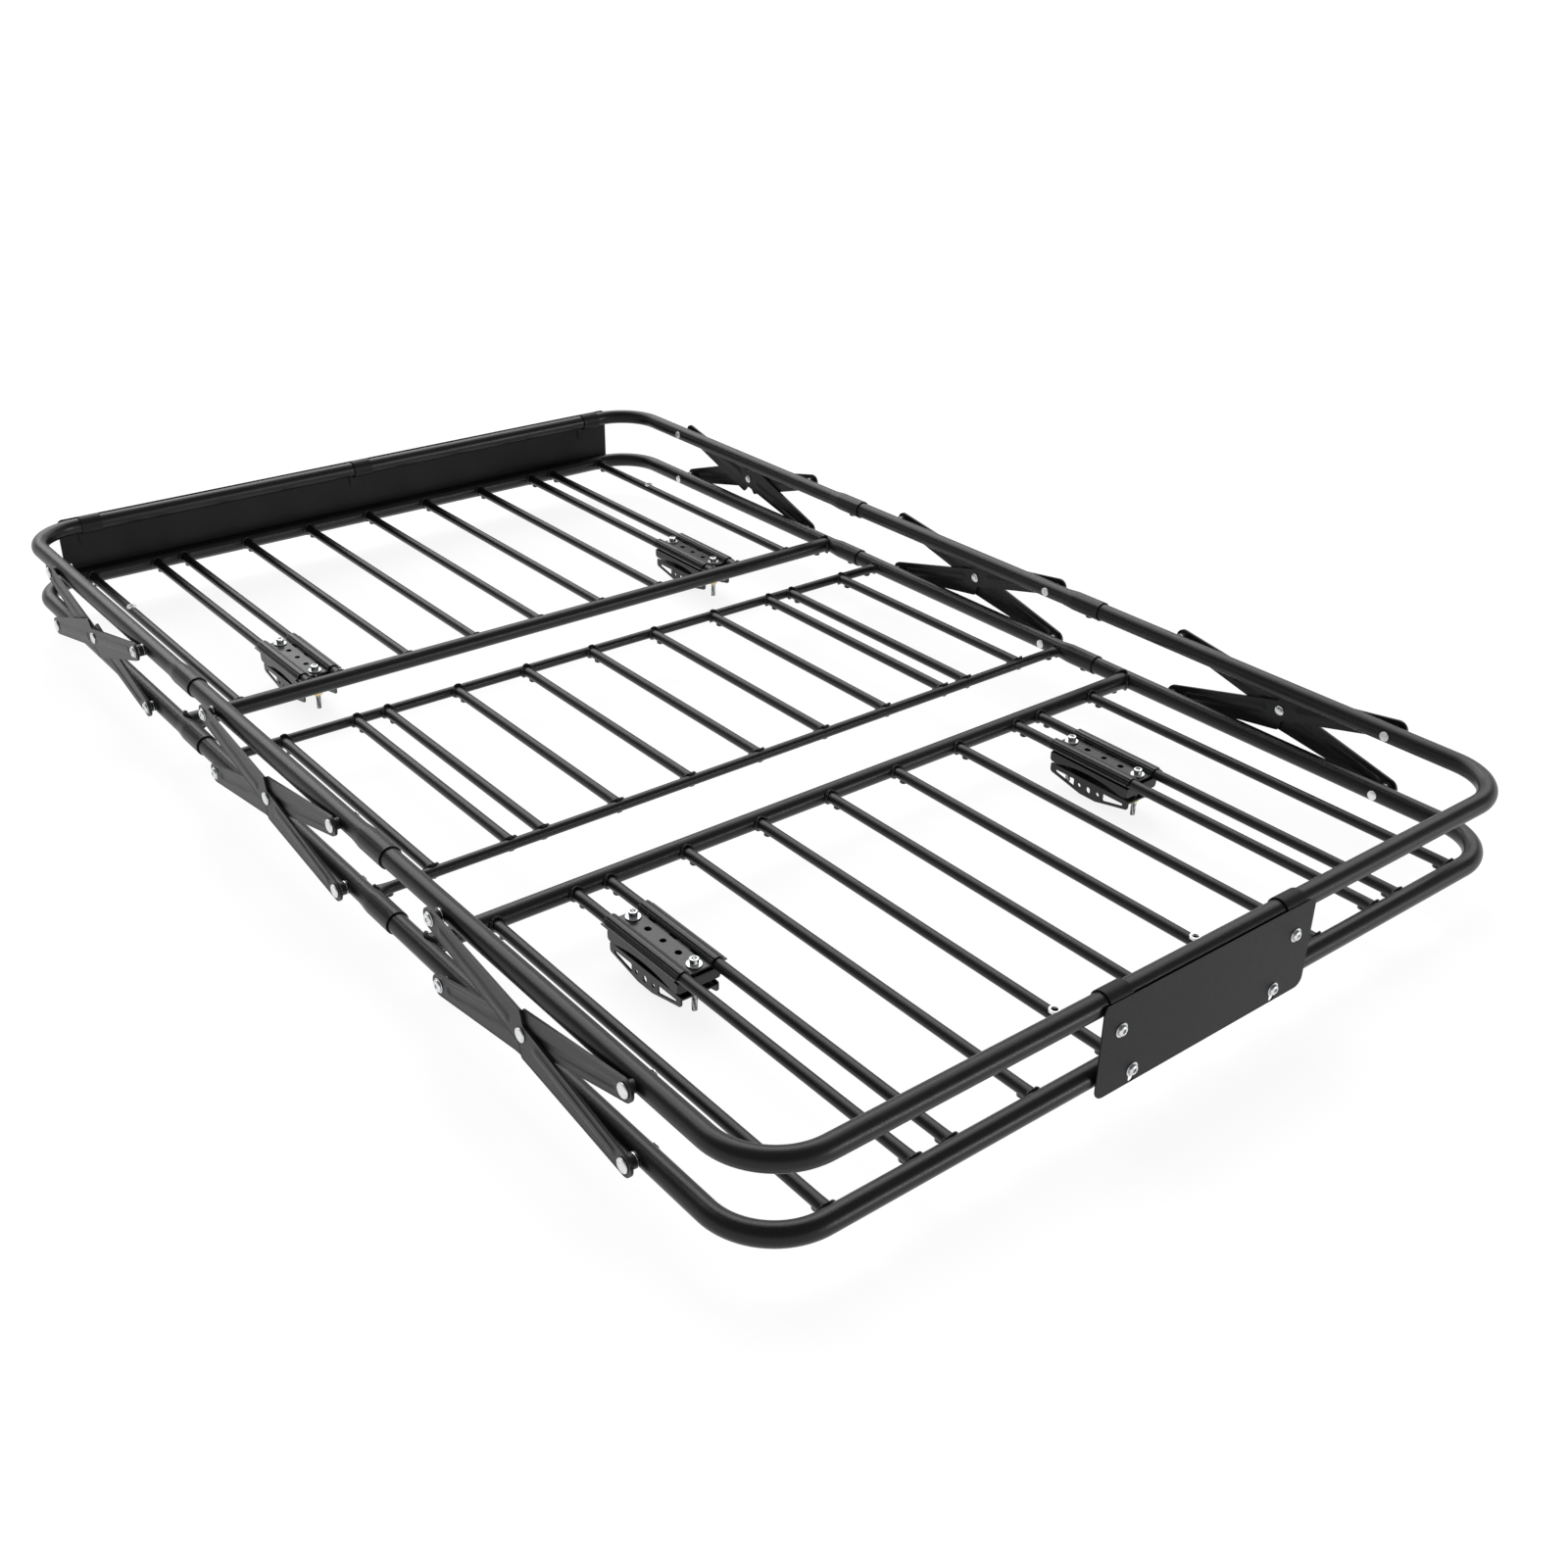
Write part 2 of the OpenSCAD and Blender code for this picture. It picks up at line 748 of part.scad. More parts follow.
// Upper jaw: a channel under the slats, closed at its ends, whose side walls arch over the
// vehicle's bar.
module upper_jaw() {
    half = upper_jaw_l / 2;
    chord = half - 10;
    rise = upper_jaw_end - upper_jaw_arch;
    arch_r = (chord * chord + rise * rise) / (2 * rise);
    top = slat_r + run;
    for (x = [-upper_jaw_w / 2, upper_jaw_w / 2 - jaw_t]) jaw_wall(x) difference() {
        polygon([
            [-half, -top], [half, -top], [half, -upper_jaw_end + 3], [half - 3, -upper_jaw_end],
            [-half + 3, -upper_jaw_end], [-half, -upper_jaw_end + 3]
        ]);
        translate([0, -upper_jaw_arch - arch_r]) circle(r = arch_r, $fn = 180);
    }
    for (y = [-half, half - jaw_t]) translate([-upper_jaw_w / 2 + jaw_t, y, -upper_jaw_end])
        cube([upper_jaw_w - 2 * jaw_t, jaw_t, upper_jaw_end - top]);
    difference() {
        translate([-upper_jaw_w / 2 + jaw_t, -half, -top - jaw_t])
            cube([upper_jaw_w - 2 * jaw_t, 2 * half, jaw_t]);
        for (step = [-2:2]) translate([0, step * hole_step, -top - jaw_t - cut])
            cylinder(h = jaw_t + 2 * cut, r = hole_r);
    }
}

// Lower jaw: a boat-shaped channel under the vehicle's bar, its sides pierced.
module lower_jaw() {
    half = upper_jaw_l / 2 + 1;
    for (x = [-lower_jaw_w / 2, lower_jaw_w / 2 - jaw_t]) jaw_wall(x) difference() {
        polygon([
            [-half, -lower_jaw_top], [half, -lower_jaw_top], [half, -33],
            [half - 24, -38], [12, -43], [-12, -43], [-half + 24, -38], [-half, -33]
        ]);
        translate([0, -33.5]) circle(r = 3.6);
        for (side = [-1, 1]) {
            translate([side * 14, -33]) circle(r = 2.6);
            polygon([[side * 22, -28.5], [side * 52, -28.5], [side * 50, -30.5], [side * 22, -36]]);
        }
    }
    difference() {
        translate([-lower_jaw_w / 2 + jaw_t, -half, -lower_jaw_web - jaw_t])
            cube([lower_jaw_w - 2 * jaw_t, 2 * half, jaw_t]);
        for (side = [-1, 1]) translate([0, side * clamp_bolt_y, -lower_jaw_web - jaw_t - cut])
            cylinder(h = jaw_t + 2 * cut, r = hole_r);
    }
}

// The two long socket-head bolts of a clamp and their washers.
module clamp_bolts() {
    for (side = [-1, 1]) translate([0, side * clamp_bolt_y, saddle_t + fit]) {
        cylinder(h = washer_t, r = washer_r);
        translate([0, 0, washer_t]) difference() {
            cylinder(h = clamp_head_h, r = clamp_head_r);
            translate([0, 0, clamp_head_h / 2])
                cylinder(h = clamp_head_h, r = clamp_socket * hex_corner / 2, $fn = 6);
        }
        translate([0, 0, -saddle_t - fit - bolt_drop])
            cylinder(h = bolt_drop + saddle_t + washer_t, r = bolt_d / 2);
    }
}

// Flange nuts under the lower jaw.
module clamp_nuts() {
    for (side = [-1, 1]) translate([0, side * clamp_bolt_y, -lower_jaw_web - jaw_t - fit - nut_h])
        difference() {
            cylinder(h = nut_h, r = nut_flats * hex_corner / 2, $fn = 6);
            translate([0, 0, -cut]) cylinder(h = nut_h + 2 * cut, r = bolt_d / 2 + 2 * hinge_gap);
        }
}

module saddle_at(side, y) {
    color(black) at_clamp(side, y) saddle();
}

module upper_jaw_at(side, y) {
    color(black) at_clamp(side, y) upper_jaw();
}

module bolts_at(side, y) {
    color(zinc) at_clamp(side, y) clamp_bolts();
}

module lower_jaw_at(side, y) {
    color(black) at_clamp(side, y) lower_jaw();
}

module nuts_at(side, y) {
    color(yellow_zinc) at_clamp(side, y) clamp_nuts();
}

// ---------- nodes ----------

front_floor_rail();
mid_floor_rails();
rear_floor_rail();
front_crossbar();
thin_crossbars();
rear_crossbar();
front_slats();
mid_slats();
rear_slats();
floor_joint_screws();
floor_bosses();
floor_rivets();
slat_rivet_nuts();
drain_plugs();
panel_rivet_nuts();
front_top_rail();
mid_top_rails();
rear_top_rail();
top_joint_screws();
top_bosses();
top_rivets();
fairing();
fairing_clips();
rear_plate();
plate_clips();
panel_bolts();
front_outer_legs();
front_outer_bolts();
front_inner_legs();
front_inner_bolts();
mid_outer_legs();
mid_outer_bolts();
mid_inner_legs();
mid_inner_bolts();
rear_outer_legs();
rear_outer_bolts();
rear_inner_legs();
rear_inner_bolts();
saddle_at(-1, front_clamp_y);  // fl_saddle
upper_jaw_at(-1, front_clamp_y);  // fl_upper_jaw
bolts_at(-1, front_clamp_y);  // fl_bolts
lower_jaw_at(-1, front_clamp_y);  // fl_lower_jaw
nuts_at(-1, front_clamp_y);  // fl_nuts
saddle_at(1, front_clamp_y);  // fr_saddle
upper_jaw_at(1, front_clamp_y);  // fr_upper_jaw
bolts_at(1, front_clamp_y);  // fr_bolts
lower_jaw_at(1, front_clamp_y);  // fr_lower_jaw
nuts_at(1, front_clamp_y);  // fr_nuts
saddle_at(-1, -rear_clamp_y);  // rl_saddle
upper_jaw_at(-1, -rear_clamp_y);  // rl_upper_jaw
bolts_at(-1, -rear_clamp_y);  // rl_bolts
lower_jaw_at(-1, -rear_clamp_y);  // rl_lower_jaw
nuts_at(-1, -rear_clamp_y);  // rl_nuts
saddle_at(1, -rear_clamp_y);  // rr_saddle
upper_jaw_at(1, -rear_clamp_y);  // rr_upper_jaw
bolts_at(1, -rear_clamp_y);  // rr_bolts
lower_jaw_at(1, -rear_clamp_y);  // rr_lower_jaw
nuts_at(1, -rear_clamp_y);  // rr_nuts
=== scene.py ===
import json
import math
import random

import bmesh
import bpy
from mathutils import Matrix, Vector


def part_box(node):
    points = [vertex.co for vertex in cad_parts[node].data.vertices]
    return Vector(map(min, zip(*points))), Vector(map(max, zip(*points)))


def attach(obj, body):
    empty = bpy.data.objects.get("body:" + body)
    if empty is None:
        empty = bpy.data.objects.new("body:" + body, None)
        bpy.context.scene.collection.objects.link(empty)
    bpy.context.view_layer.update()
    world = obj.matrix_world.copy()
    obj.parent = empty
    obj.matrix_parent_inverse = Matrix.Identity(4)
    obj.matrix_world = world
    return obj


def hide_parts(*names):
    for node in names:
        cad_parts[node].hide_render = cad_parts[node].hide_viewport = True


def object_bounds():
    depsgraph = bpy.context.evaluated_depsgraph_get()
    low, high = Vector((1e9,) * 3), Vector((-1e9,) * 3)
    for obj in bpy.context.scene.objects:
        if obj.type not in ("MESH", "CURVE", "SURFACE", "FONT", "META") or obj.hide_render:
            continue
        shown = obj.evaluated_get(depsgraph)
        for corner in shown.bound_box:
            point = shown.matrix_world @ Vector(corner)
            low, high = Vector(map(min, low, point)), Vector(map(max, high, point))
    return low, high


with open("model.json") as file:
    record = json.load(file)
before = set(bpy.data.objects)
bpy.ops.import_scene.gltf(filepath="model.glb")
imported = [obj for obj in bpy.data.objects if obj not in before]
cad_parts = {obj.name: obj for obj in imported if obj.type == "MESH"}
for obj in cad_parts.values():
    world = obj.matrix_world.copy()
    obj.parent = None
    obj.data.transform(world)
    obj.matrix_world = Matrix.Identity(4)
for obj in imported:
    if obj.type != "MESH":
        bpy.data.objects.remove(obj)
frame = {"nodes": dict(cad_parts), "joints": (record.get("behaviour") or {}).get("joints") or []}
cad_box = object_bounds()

# Roof cargo basket. Metres, +Z up, +Y towards the fairing. Places come from the CAD nodes'
# boxes and joints; sizes that a box can't give are named below.

MM = 0.001
X_AXIS, Y_AXIS, Z_AXIS = Vector((1, 0, 0)), Vector((0, 1, 0)), Vector((0, 0, 1))
MIRROR = Matrix.Diagonal((-1, 1, 1, 1))
FLIP_Y = Matrix.Diagonal((1, -1, 1, 1))
BOTH_SIDES = (Matrix(), MIRROR)
HEAD_DOWN = Matrix.Rotation(math.pi, 4, "X")
ON_EDGE = Matrix.Rotation(math.pi / 2, 4, "X")
TO_SIDE = Matrix(((0, 0, 1), (1, 0, 0), (0, 1, 0))).to_4x4()
HINGES = {joint["name"]: joint for joint in frame["joints"]}
CLAMPS = ("fl", "fr", "rl", "rr")


def low(node):
    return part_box(node)[0]


def high(node):
    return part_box(node)[1]


def middle(node):
    return (low(node) + high(node)) / 2


# Rails
RAIL_R = 10.5 * MM
BEND_R = 65 * MM
COLLAR_R = (high("mid_floor_rails").z - low("mid_floor_rails").z) / 2
COLLAR_BORE = RAIL_R + 0.25 * MM
COLLAR_FLAT = 42 * MM
COLLAR_L = 60 * MM
COLLAR_STEP = 0.35 * MM
DIMPLES = 6
DIMPLE_DEPTH = 0.42 * MM
MOUTH_EDGE = 0.35 * MM
PLUG_EDGE = 0.5 * MM
BEND_STEP = 5 * MM
HALF_W = high("mid_floor_rails").x - COLLAR_R
HALF_L = high("front_floor_rail").y - RAIL_R
BEND_X = HALF_W - BEND_R
BEND_Y = HALF_L - BEND_R
FLOOR_Z = middle("mid_floor_rails").z
TOP_Z = middle("mid_top_rails").z
LEVELS = (("floor", FLOOR_Z, "floor_frame"), ("top", TOP_Z, "guard_rail"))
FRONT_MOUTH = low("front_floor_rail").y
REAR_MOUTH = low("mid_floor_rails").y
PLUG_DEPTH = high("mid_floor_rails").y - FRONT_MOUTH
SCREW_INSET = 20 * MM
TUBE_SIDES = 48

# Button heads: radius, height, and width over the socket's flats
JOINT_HEAD = (5 * MM, 2.3 * MM, 3 * MM)
LEG_HEAD = (6.2 * MM, 2.7 * MM, 4 * MM)
PANEL_HEAD = (5.2 * MM, 2.9 * MM, 4 * MM)
BOLT_R = 3 * MM
BOLT_HOLE_R = 3.3 * MM
WASHER_T = 0.8 * MM

# Floor
SLAT_R = (high("mid_slats").z - low("mid_slats").z) / 2
CROSSBAR_R = (high("front_crossbar").z - low("front_crossbar").z) / 2
CROSSBAR_Y = middle("front_crossbar").y
THIN_BAR_Y = high("thin_crossbars").y - SLAT_R
SLAT_PITCH = 96.25 * MM
PAIR_X = middle("fr_saddle").x
PAIR_GAP = 39.5 * MM
OUTER_SLAT_X = high("mid_slats").x - SLAT_R
HALF_SLATS = (SLAT_PITCH, 2 * SLAT_PITCH, PAIR_X - PAIR_GAP / 2, PAIR_X + PAIR_GAP / 2, OUTER_SLAT_X)
SLAT_XS = (0,) + HALF_SLATS + tuple(-x for x in HALF_SLATS)
DRAIN_INSET = 12 * MM
DRAIN_R = 4.5 * MM
DRAIN_DROP = FLOOR_Z - CROSSBAR_R - low("drain_plugs").z
FRONT_NUT_Y = 648 * MM
REAR_NUT_Y = -725 * MM
NUT_HOLE_DEPTH = 6 * MM
CROSSBAR_BEAD = 2.4 * MM
THIN_BAR_BEAD = 2.2 * MM
SLAT_BEAD = 1.8 * MM

# Braces
BRACE_REACH = 151 * MM
RISE = TOP_Z - FLOOR_Z
LEG_L = math.hypot(2 * BRACE_REACH, RISE)
LEG_ANGLE = math.asin(RISE / LEG_L)
LEG_T = 2.5 * MM
LEG_R = 11 * MM
LEG_SHOULDER = 24 * MM
SHOULDER_START = LEG_L / 2 - 6 * MM
SHOULDER_FALL = 9 * MM
LEG_TAPER = 1 * MM
RIB_HALF = 3.2 * MM
RIBS = ((17 * MM, LEG_L / 2 - 24 * MM), (LEG_L / 2 + 24 * MM, LEG_L - 21 * MM))
RIB_DEPTH = 1 * MM
RIM_LIFT = 0.3 * MM
LEG_STEP = 2.5 * MM
INNER_LEG_X = HALF_W + RAIL_R + 5 * MM
OUTER_LEG_X = INNER_LEG_X + LEG_T + 0.5 * MM
LEG_PLAY = 0.3 * MM
INNER_BOSS = (INNER_LEG_X - LEG_PLAY, 6 * MM)
OUTER_BOSS = (OUTER_LEG_X - LEG_PLAY, 7 * MM)
RIVET_R = 7 * MM
RIVET_H = 2 * MM
STATIONS = ("front", "mid", "rear")
PIVOT_YS = [HINGES[f"{station}_outer_hinge"]["pos_m"][1] for station in STATIONS]
SCREW_YS = [y + way * 2 * BRACE_REACH for y, way in zip(PIVOT_YS, (-1, 1, 1))]

# Panels
SHEET = 1.5 * MM
CLIP_R = RAIL_R + 0.4 * MM
CLIP_W = 28 * MM
CLIP_TAIL = 32 * MM
CLIP_CORNER = 4 * MM
PANEL_IN = HALF_L + CLIP_R + SHEET + 0.05 * MM
PANEL_OUT = PANEL_IN + SHEET
CLIP_BOLT_Z = TOP_Z - 25 * MM
LOW_BOLT_Z = FLOOR_Z - 3 * MM
FAIRING_CLIP_XS = (-405 * MM, 0, 405 * MM)
FAIRING_LOW_X = OUTER_SLAT_X - 6 * MM
FAIRING_HALF = high("fairing").x
FAIRING_CORNER = 8 * MM
BEAD_DROPS = (10.5 * MM, 18.5 * MM)
BEAD_RISE = 1 * MM
PLATE_CORNER = 10 * MM
PLATE_TOP_CORNER = 6 * MM
PLATE_HALF = high("rear_plate").x
PLATE_CLIP_X = PLATE_HALF - 24 * MM
PLATE_LOW_X = SLAT_PITCH

# Clamps
SADDLE_L = high("fl_saddle").y - low("fl_saddle").y
SADDLE_T = 1.5 * MM
CHANNEL_IN = SLAT_R + 0.3 * MM
CHANNEL_OUT = CHANNEL_IN + SADDLE_T
RIDGES = (44, 62, 118, 136)
RIDGE_SPREAD = 5
RIDGE_RISE = 0.7 * MM
GROOVE_DEPTH = 0.25 * MM
HOLE_STEP = 25 * MM
CLAMP_BOLT_Y = 2 * HOLE_STEP
JAW_T = 2 * MM
UPPER_JAW_W = 50 * MM
UPPER_JAW_DEPTH = 18 * MM
ARCH_DEPTH = 12 * MM
LOWER_JAW_W = 44 * MM
LOWER_WEB_Z = -26 * MM
CLAMP_WASHER_T = 1.6 * MM


# ---------- mesh making ----------

def smooth(t):
    """A step from 0 to 1 with soft ends."""
    t = min(max(t, 0.0), 1.0)
    return t * t * (3 - 2 * t)


def skin(bm, rings, matrix=None, close=False):
    """Joins rings of points with quads, and closes the ends, or the last ring on the first."""
    matrix = matrix or Matrix()
    rows = [[bm.verts.new(matrix @ Vector(point)) for point in ring] for ring in rings]
    count = len(rings[0])
    after = rows[1:] + rows[:1] if close else rows[1:]
    for row, following in zip(rows, after):
        for i in range(count):
            j = (i + 1) % count
            bm.faces.new((row[i], row[j], following[j], following[i]))
    if not close:
        bm.faces.new(rows[0][::-1])
        bm.faces.new(rows[-1])


def turned_ring(radius, height, flats=0, sides=TUBE_SIDES):
    """Points round +Z: a circle, or a polygon whose flats are radius from the axis."""
    ring = []
    for i in range(sides):
        turn = 2 * math.pi * i / sides
        r = radius
        if flats:
            wedge = 2 * math.pi / flats
            r = radius / math.cos((turn + wedge / 2) % wedge - wedge / 2)
        ring.append((r * math.cos(turn), r * math.sin(turn), height))
    return ring


def turned(bm, profile, matrix=None, close=False, sides=TUBE_SIDES):
    """A turned solid from (radius, height) or (radius, height, flats) steps."""
    skin(bm, [turned_ring(*step, sides=sides) for step in profile], matrix, close)


def tube(bm, stations, matrix=None, close=False, sides=TUBE_SIDES):
    """Sweeps a section: a station is (centre, side, up, radius), radius a number or f(turn)."""
    rings = []
    for centre, side, up, radius in stations:
        ring = []
        for i in range(sides):
            turn = 2 * math.pi * i / sides
            r = radius(turn) if callable(radius) else radius
            ring.append(centre + r * math.cos(turn) * side + r * math.sin(turn) * up)
        rings.append(ring)
    skin(bm, rings, matrix, close)


def sheet_solid(bm, front, back, matrix=None):
    """A solid between two grids of points, stitched round the edge."""
    matrix = matrix or Matrix()
    rows, columns = len(front), len(front[0])
    faces = []
    for grid in (front, back):
        faces.append([[bm.verts.new(matrix @ Vector(point)) for point in row] for row in grid])
    for face, turn in zip(faces, (1, -1)):
        for i in range(rows - 1):
            for j in range(columns - 1):
                corners = (face[i][j], face[i + 1][j], face[i + 1][j + 1], face[i][j + 1])
                bm.faces.new(corners[::turn])
    edge = [(i, 0) for i in range(rows)] + [(rows - 1, j) for j in range(1, columns)]
    edge += [(i, columns - 1) for i in range(rows - 2, -1, -1)] + [(0, j) for j in range(columns - 2, 0, -1)]
    for (i, j), (k, m) in zip(edge, edge[1:] + edge[:1]):
        bm.faces.new((faces[0][i][j], faces[1][i][j], faces[1][k][m], faces[0][k][m]))


def rounded(corners, radius=0.0):
    """An outline whose corners are rounded to radius, or to each corner's own third number."""
    outline = []
    steps = 5
    count = len(corners)
    for i, corner in enumerate(corners):
        here = Vector(corner[:2])
        before = (Vector(corners[i - 1][:2]) - here).normalized()
        after = (Vector(corners[(i + 1) % count][:2]) - here).normalized()
        r = corner[2] if len(corner) > 2 else radius
        half = before.angle(after) / 2
        cut = r / math.tan(half)
        centre = here + (before + after).normalized() * (r / math.sin(half))
        start = here + before * cut - centre
        sweep = (here + after * cut - centre).angle_signed(start)
        for step in range(steps + 1):
            outline.append(centre + Matrix.Rotation(sweep * step / steps, 2) @ start)
    return outline


def lifted(matrix, z):
    return matrix @ Matrix.Translation((0, 0, z))


def rectangle(half_x, half_y):
    return [(-half_x, -half_y), (half_x, -half_y), (half_x, half_y), (-half_x, half_y)]


def round_hole(x, y, r, stretch=0.0):
    """A round hole, or an oblong one stretched along Y."""
    points = []
    count = 32
    for i in range(count):
        turn = 2 * math.pi * (i + 0.5) / count
        shift = math.copysign(stretch / 2, math.sin(turn))
        points.append((x + r * math.cos(turn), y + r * math.sin(turn) + shift))
    return points


def plate(bm, outline, holes, thickness, matrix):
    """A flat plate with holes and softened edges, lying on z = 0 before matrix moves it."""
    bevel = 0.25 * MM
    curve = bpy.data.curves.new("outline", "CURVE")
    curve.dimensions = "2D"
    curve.fill_mode = "BOTH"
    curve.extrude = thickness / 2 - bevel
    curve.bevel_depth = bevel
    curve.bevel_resolution = 1
    curve.offset = -bevel
    for loop in [outline] + holes:
        spline = curve.splines.new("POLY")
        spline.points.add(len(loop) - 1)
        for point, (x, y) in zip(spline.points, loop):
            point.co = (x, y, 0, 1)
        spline.use_cyclic_u = True
    holder = bpy.data.objects.new("outline", curve)
    bpy.context.scene.collection.objects.link(holder)
    bpy.context.view_layer.update()
    cut = bpy.data.meshes.new_from_object(holder.evaluated_get(bpy.context.evaluated_depsgraph_get()))
    cut.transform(lifted(matrix, thickness / 2))
    bm.from_mesh(cut)
    bpy.data.objects.remove(holder)
    bpy.data.curves.remove(curve)
    bpy.data.meshes.remove(cut)


def piece(name, bm, body, look, nodes=(), crease=35, soften=0.0):
    """Turns a bmesh into a piece that rides on a body. A look is a finish and its slot, and the slot is not
    used here; crease is the angle in degrees that shades as an edge, and soften the width of a bevel on
    sharp edges."""
    finish, slot = look
    bmesh.ops.remove_doubles(bm, verts=bm.verts, dist=1e-7)
    bmesh.ops.recalc_face_normals(bm, faces=bm.faces)
    mesh = bpy.data.meshes.new(name)
    bm.to_mesh(mesh)
    bm.free()
    mesh.polygons.foreach_set("use_smooth", [True] * len(mesh.polygons))
    mesh.set_sharp_from_angle(angle=math.radians(crease))
    mesh.materials.append(finish)
    obj = bpy.data.objects.new(name, mesh)
    bpy.context.scene.collection.objects.link(obj)
    if soften:
        bevel = obj.modifiers.new("soft_edges", "BEVEL")
        bevel.width = soften
        bevel.segments = 2
        bevel.limit_method = "ANGLE"
        bevel.angle_limit = math.radians(50)
    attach(obj, body)
    if nodes:
        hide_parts(*nodes)
    return obj


# ---------- materials ----------

def shader(name):
    """A new material, its node tree and its main shader."""
    finish = bpy.data.materials.new(name)
    finish.use_nodes = True
    tree = finish.node_tree
    return finish, tree, tree.nodes["Principled BSDF"]


def grain(tree, scale, detail):
    """Noise in the piece's own coordinates."""
    place = tree.nodes.new("ShaderNodeTexCoord")
    noise = tree.nodes.new("ShaderNodeTexNoise")
    noise.inputs["Scale"].default_value = scale
    noise.inputs["Detail"].default_value = detail
    noise.inputs["Roughness"].default_value = 0.55
    tree.links.new(place.outputs["Object"], noise.inputs["Vector"])
    return noise.outputs["Fac"]


def ramp(tree, value, stops):
    """Colours along a value: stops are (position, colour)."""
    node = tree.nodes.new("ShaderNodeValToRGB")
    elements = node.color_ramp.elements
    while len(elements) < len(stops):
        elements.new(0.5)
    for element, (position, colour) in zip(elements, stops):
        element.position = position
        element.color = (*colour, 1)
    tree.links.new(value, node.inputs["Fac"])
    return node.outputs["Color"]


def between(tree, value, start, end):
    """A noise value spread over a range."""
    node = tree.nodes.new("ShaderNodeMapRange")
    node.inputs["From Min"].default_value = 0.3
    node.inputs["From Max"].default_value = 0.7
    node.inputs["To Min"].default_value = start
    node.inputs["To Max"].default_value = end
    tree.links.new(value, node.inputs["Value"])
    return node.outputs["Result"]


def bump(tree, value, distance, strength, under=None):
    """Relief from a value, on top of the relief under it."""
    node = tree.nodes.new("ShaderNodeBump")
    node.inputs["Distance"].default_value = distance
    node.inputs["Strength"].default_value = strength
    tree.links.new(value, node.inputs["Height"])
    if under:
        tree.links.new(under, node.inputs["Normal"])
    return node.outputs["Normal"]


def powder_coat(name, dark, light, gloss, shine):
    """Satin black powder coat: fine grain, a soft orange peel and a little colour drift.
    gloss is its roughness and shine its specular level."""
    finish, tree, main = shader(name)
    drift = grain(tree, 22, 4)
    speck = grain(tree, 1500, 2)
    peel = grain(tree, 260, 2)
    tree.links.new(ramp(tree, drift, [(0.32, dark), (0.7, light)]), main.inputs["Base Color"])
    tree.links.new(between(tree, speck, gloss - 0.07, gloss + 0.09), main.inputs["Roughness"])
    relief = bump(tree, peel, 0.00012, 0.35)
    tree.links.new(bump(tree, speck, 0.00007, 0.55, relief), main.inputs["Normal"])
    main.inputs["Specular IOR Level"].default_value = shine
    return finish


def plated(name, dull, bright, gloss, blotches):
    """Zinc-plated steel: blotchy plating, fine turning marks, and a soft metal gloss."""
    finish, tree, main = shader(name)
    blotch = grain(tree, blotches, 4)
    fine = grain(tree, 900, 3)
    tree.links.new(ramp(tree, blotch, [(0.3, dull), (0.68, bright)]), main.inputs["Base Color"])
    tree.links.new(between(tree, fine, gloss - 0.06, gloss + 0.1), main.inputs["Roughness"])
    tree.links.new(bump(tree, fine, 0.00004, 0.4), main.inputs["Normal"])
    main.inputs["Metallic"].default_value = 1.0
    return finish


def floor_finish():
    """White light-table floor, so that shadows stay faint."""
    finish, tree, main = shader("studio_floor")
    shade = ramp(tree, grain(tree, 3, 2), [(0.3, (0.19, 0.19, 0.19)), (0.7, (0.21, 0.21, 0.21))])
    tree.links.new(shade, main.inputs["Base Color"])
    main.inputs["Roughness"].default_value = 0.9
    main.inputs["Specular IOR Level"].default_value = 0.1
    main.inputs["Emission Color"].default_value = (1, 1, 1, 1)
    main.inputs["Emission Strength"].default_value = 0.87
    return finish


DEEP_BLACK = ((0.0040, 0.0042, 0.0046), (0.0070, 0.0072, 0.0077))
LEG_TONES = ((0.008, 0.0082, 0.0086), (0.0125, 0.0128, 0.0132))
PANEL_TONES = ((0.007, 0.0072, 0.0075), (0.010, 0.0103, 0.0107))

# Looks: a finish, and the record's material slot that it belongs to
RAIL_BLACK = (powder_coat("rail_powder_coat", *DEEP_BLACK, gloss=0.33, shine=0.3), "rail_black")
LEG_BLACK = (powder_coat("leg_powder_coat", *LEG_TONES, gloss=0.38, shine=0.28), "leg_black")
PANEL_BLACK = (powder_coat("panel_powder_coat", *PANEL_TONES, gloss=0.42, shine=0.17), "panel_black")
CLAMP_BLACK = (powder_coat("clamp_powder_coat", *DEEP_BLACK, gloss=0.25, shine=0.32), "clamp_black")
ZINC = (plated("zinc_plate", (0.56, 0.57, 0.58), (0.78, 0.79, 0.80), 0.22, 90), "zinc_hardware")
RIVET_STEEL = (plated("rivet_steel", (0.66, 0.66, 0.66), (0.86, 0.86, 0.86), 0.42, 160), "zinc_hardware")
YELLOW_ZINC = (plated("yellow_zinc", (0.52, 0.38, 0.16), (0.78, 0.62, 0.30), 0.27, 140), "yellow_zinc")


# ---------- rails ----------

def bend_point(s, y0):
    """Place and heading on an end rail's centre line, s on from its right end at y0."""
    arc = BEND_R * math.pi / 2
    past_middle = s - (BEND_Y - y0 + arc + BEND_X)
    side = math.copysign(1, -past_middle)
    past_cross = abs(past_middle) - BEND_X
    if past_cross <= 0:
        return Vector((-past_middle, HALF_L, 0)), math.pi
    turn = min(past_cross / BEND_R, math.pi / 2)
    back = max(past_cross - arc, 0)
    x, y = BEND_X + BEND_R * math.sin(turn), BEND_Y + BEND_R * math.cos(turn) - back
    return Vector((side * x, y, 0)), math.pi - side * turn


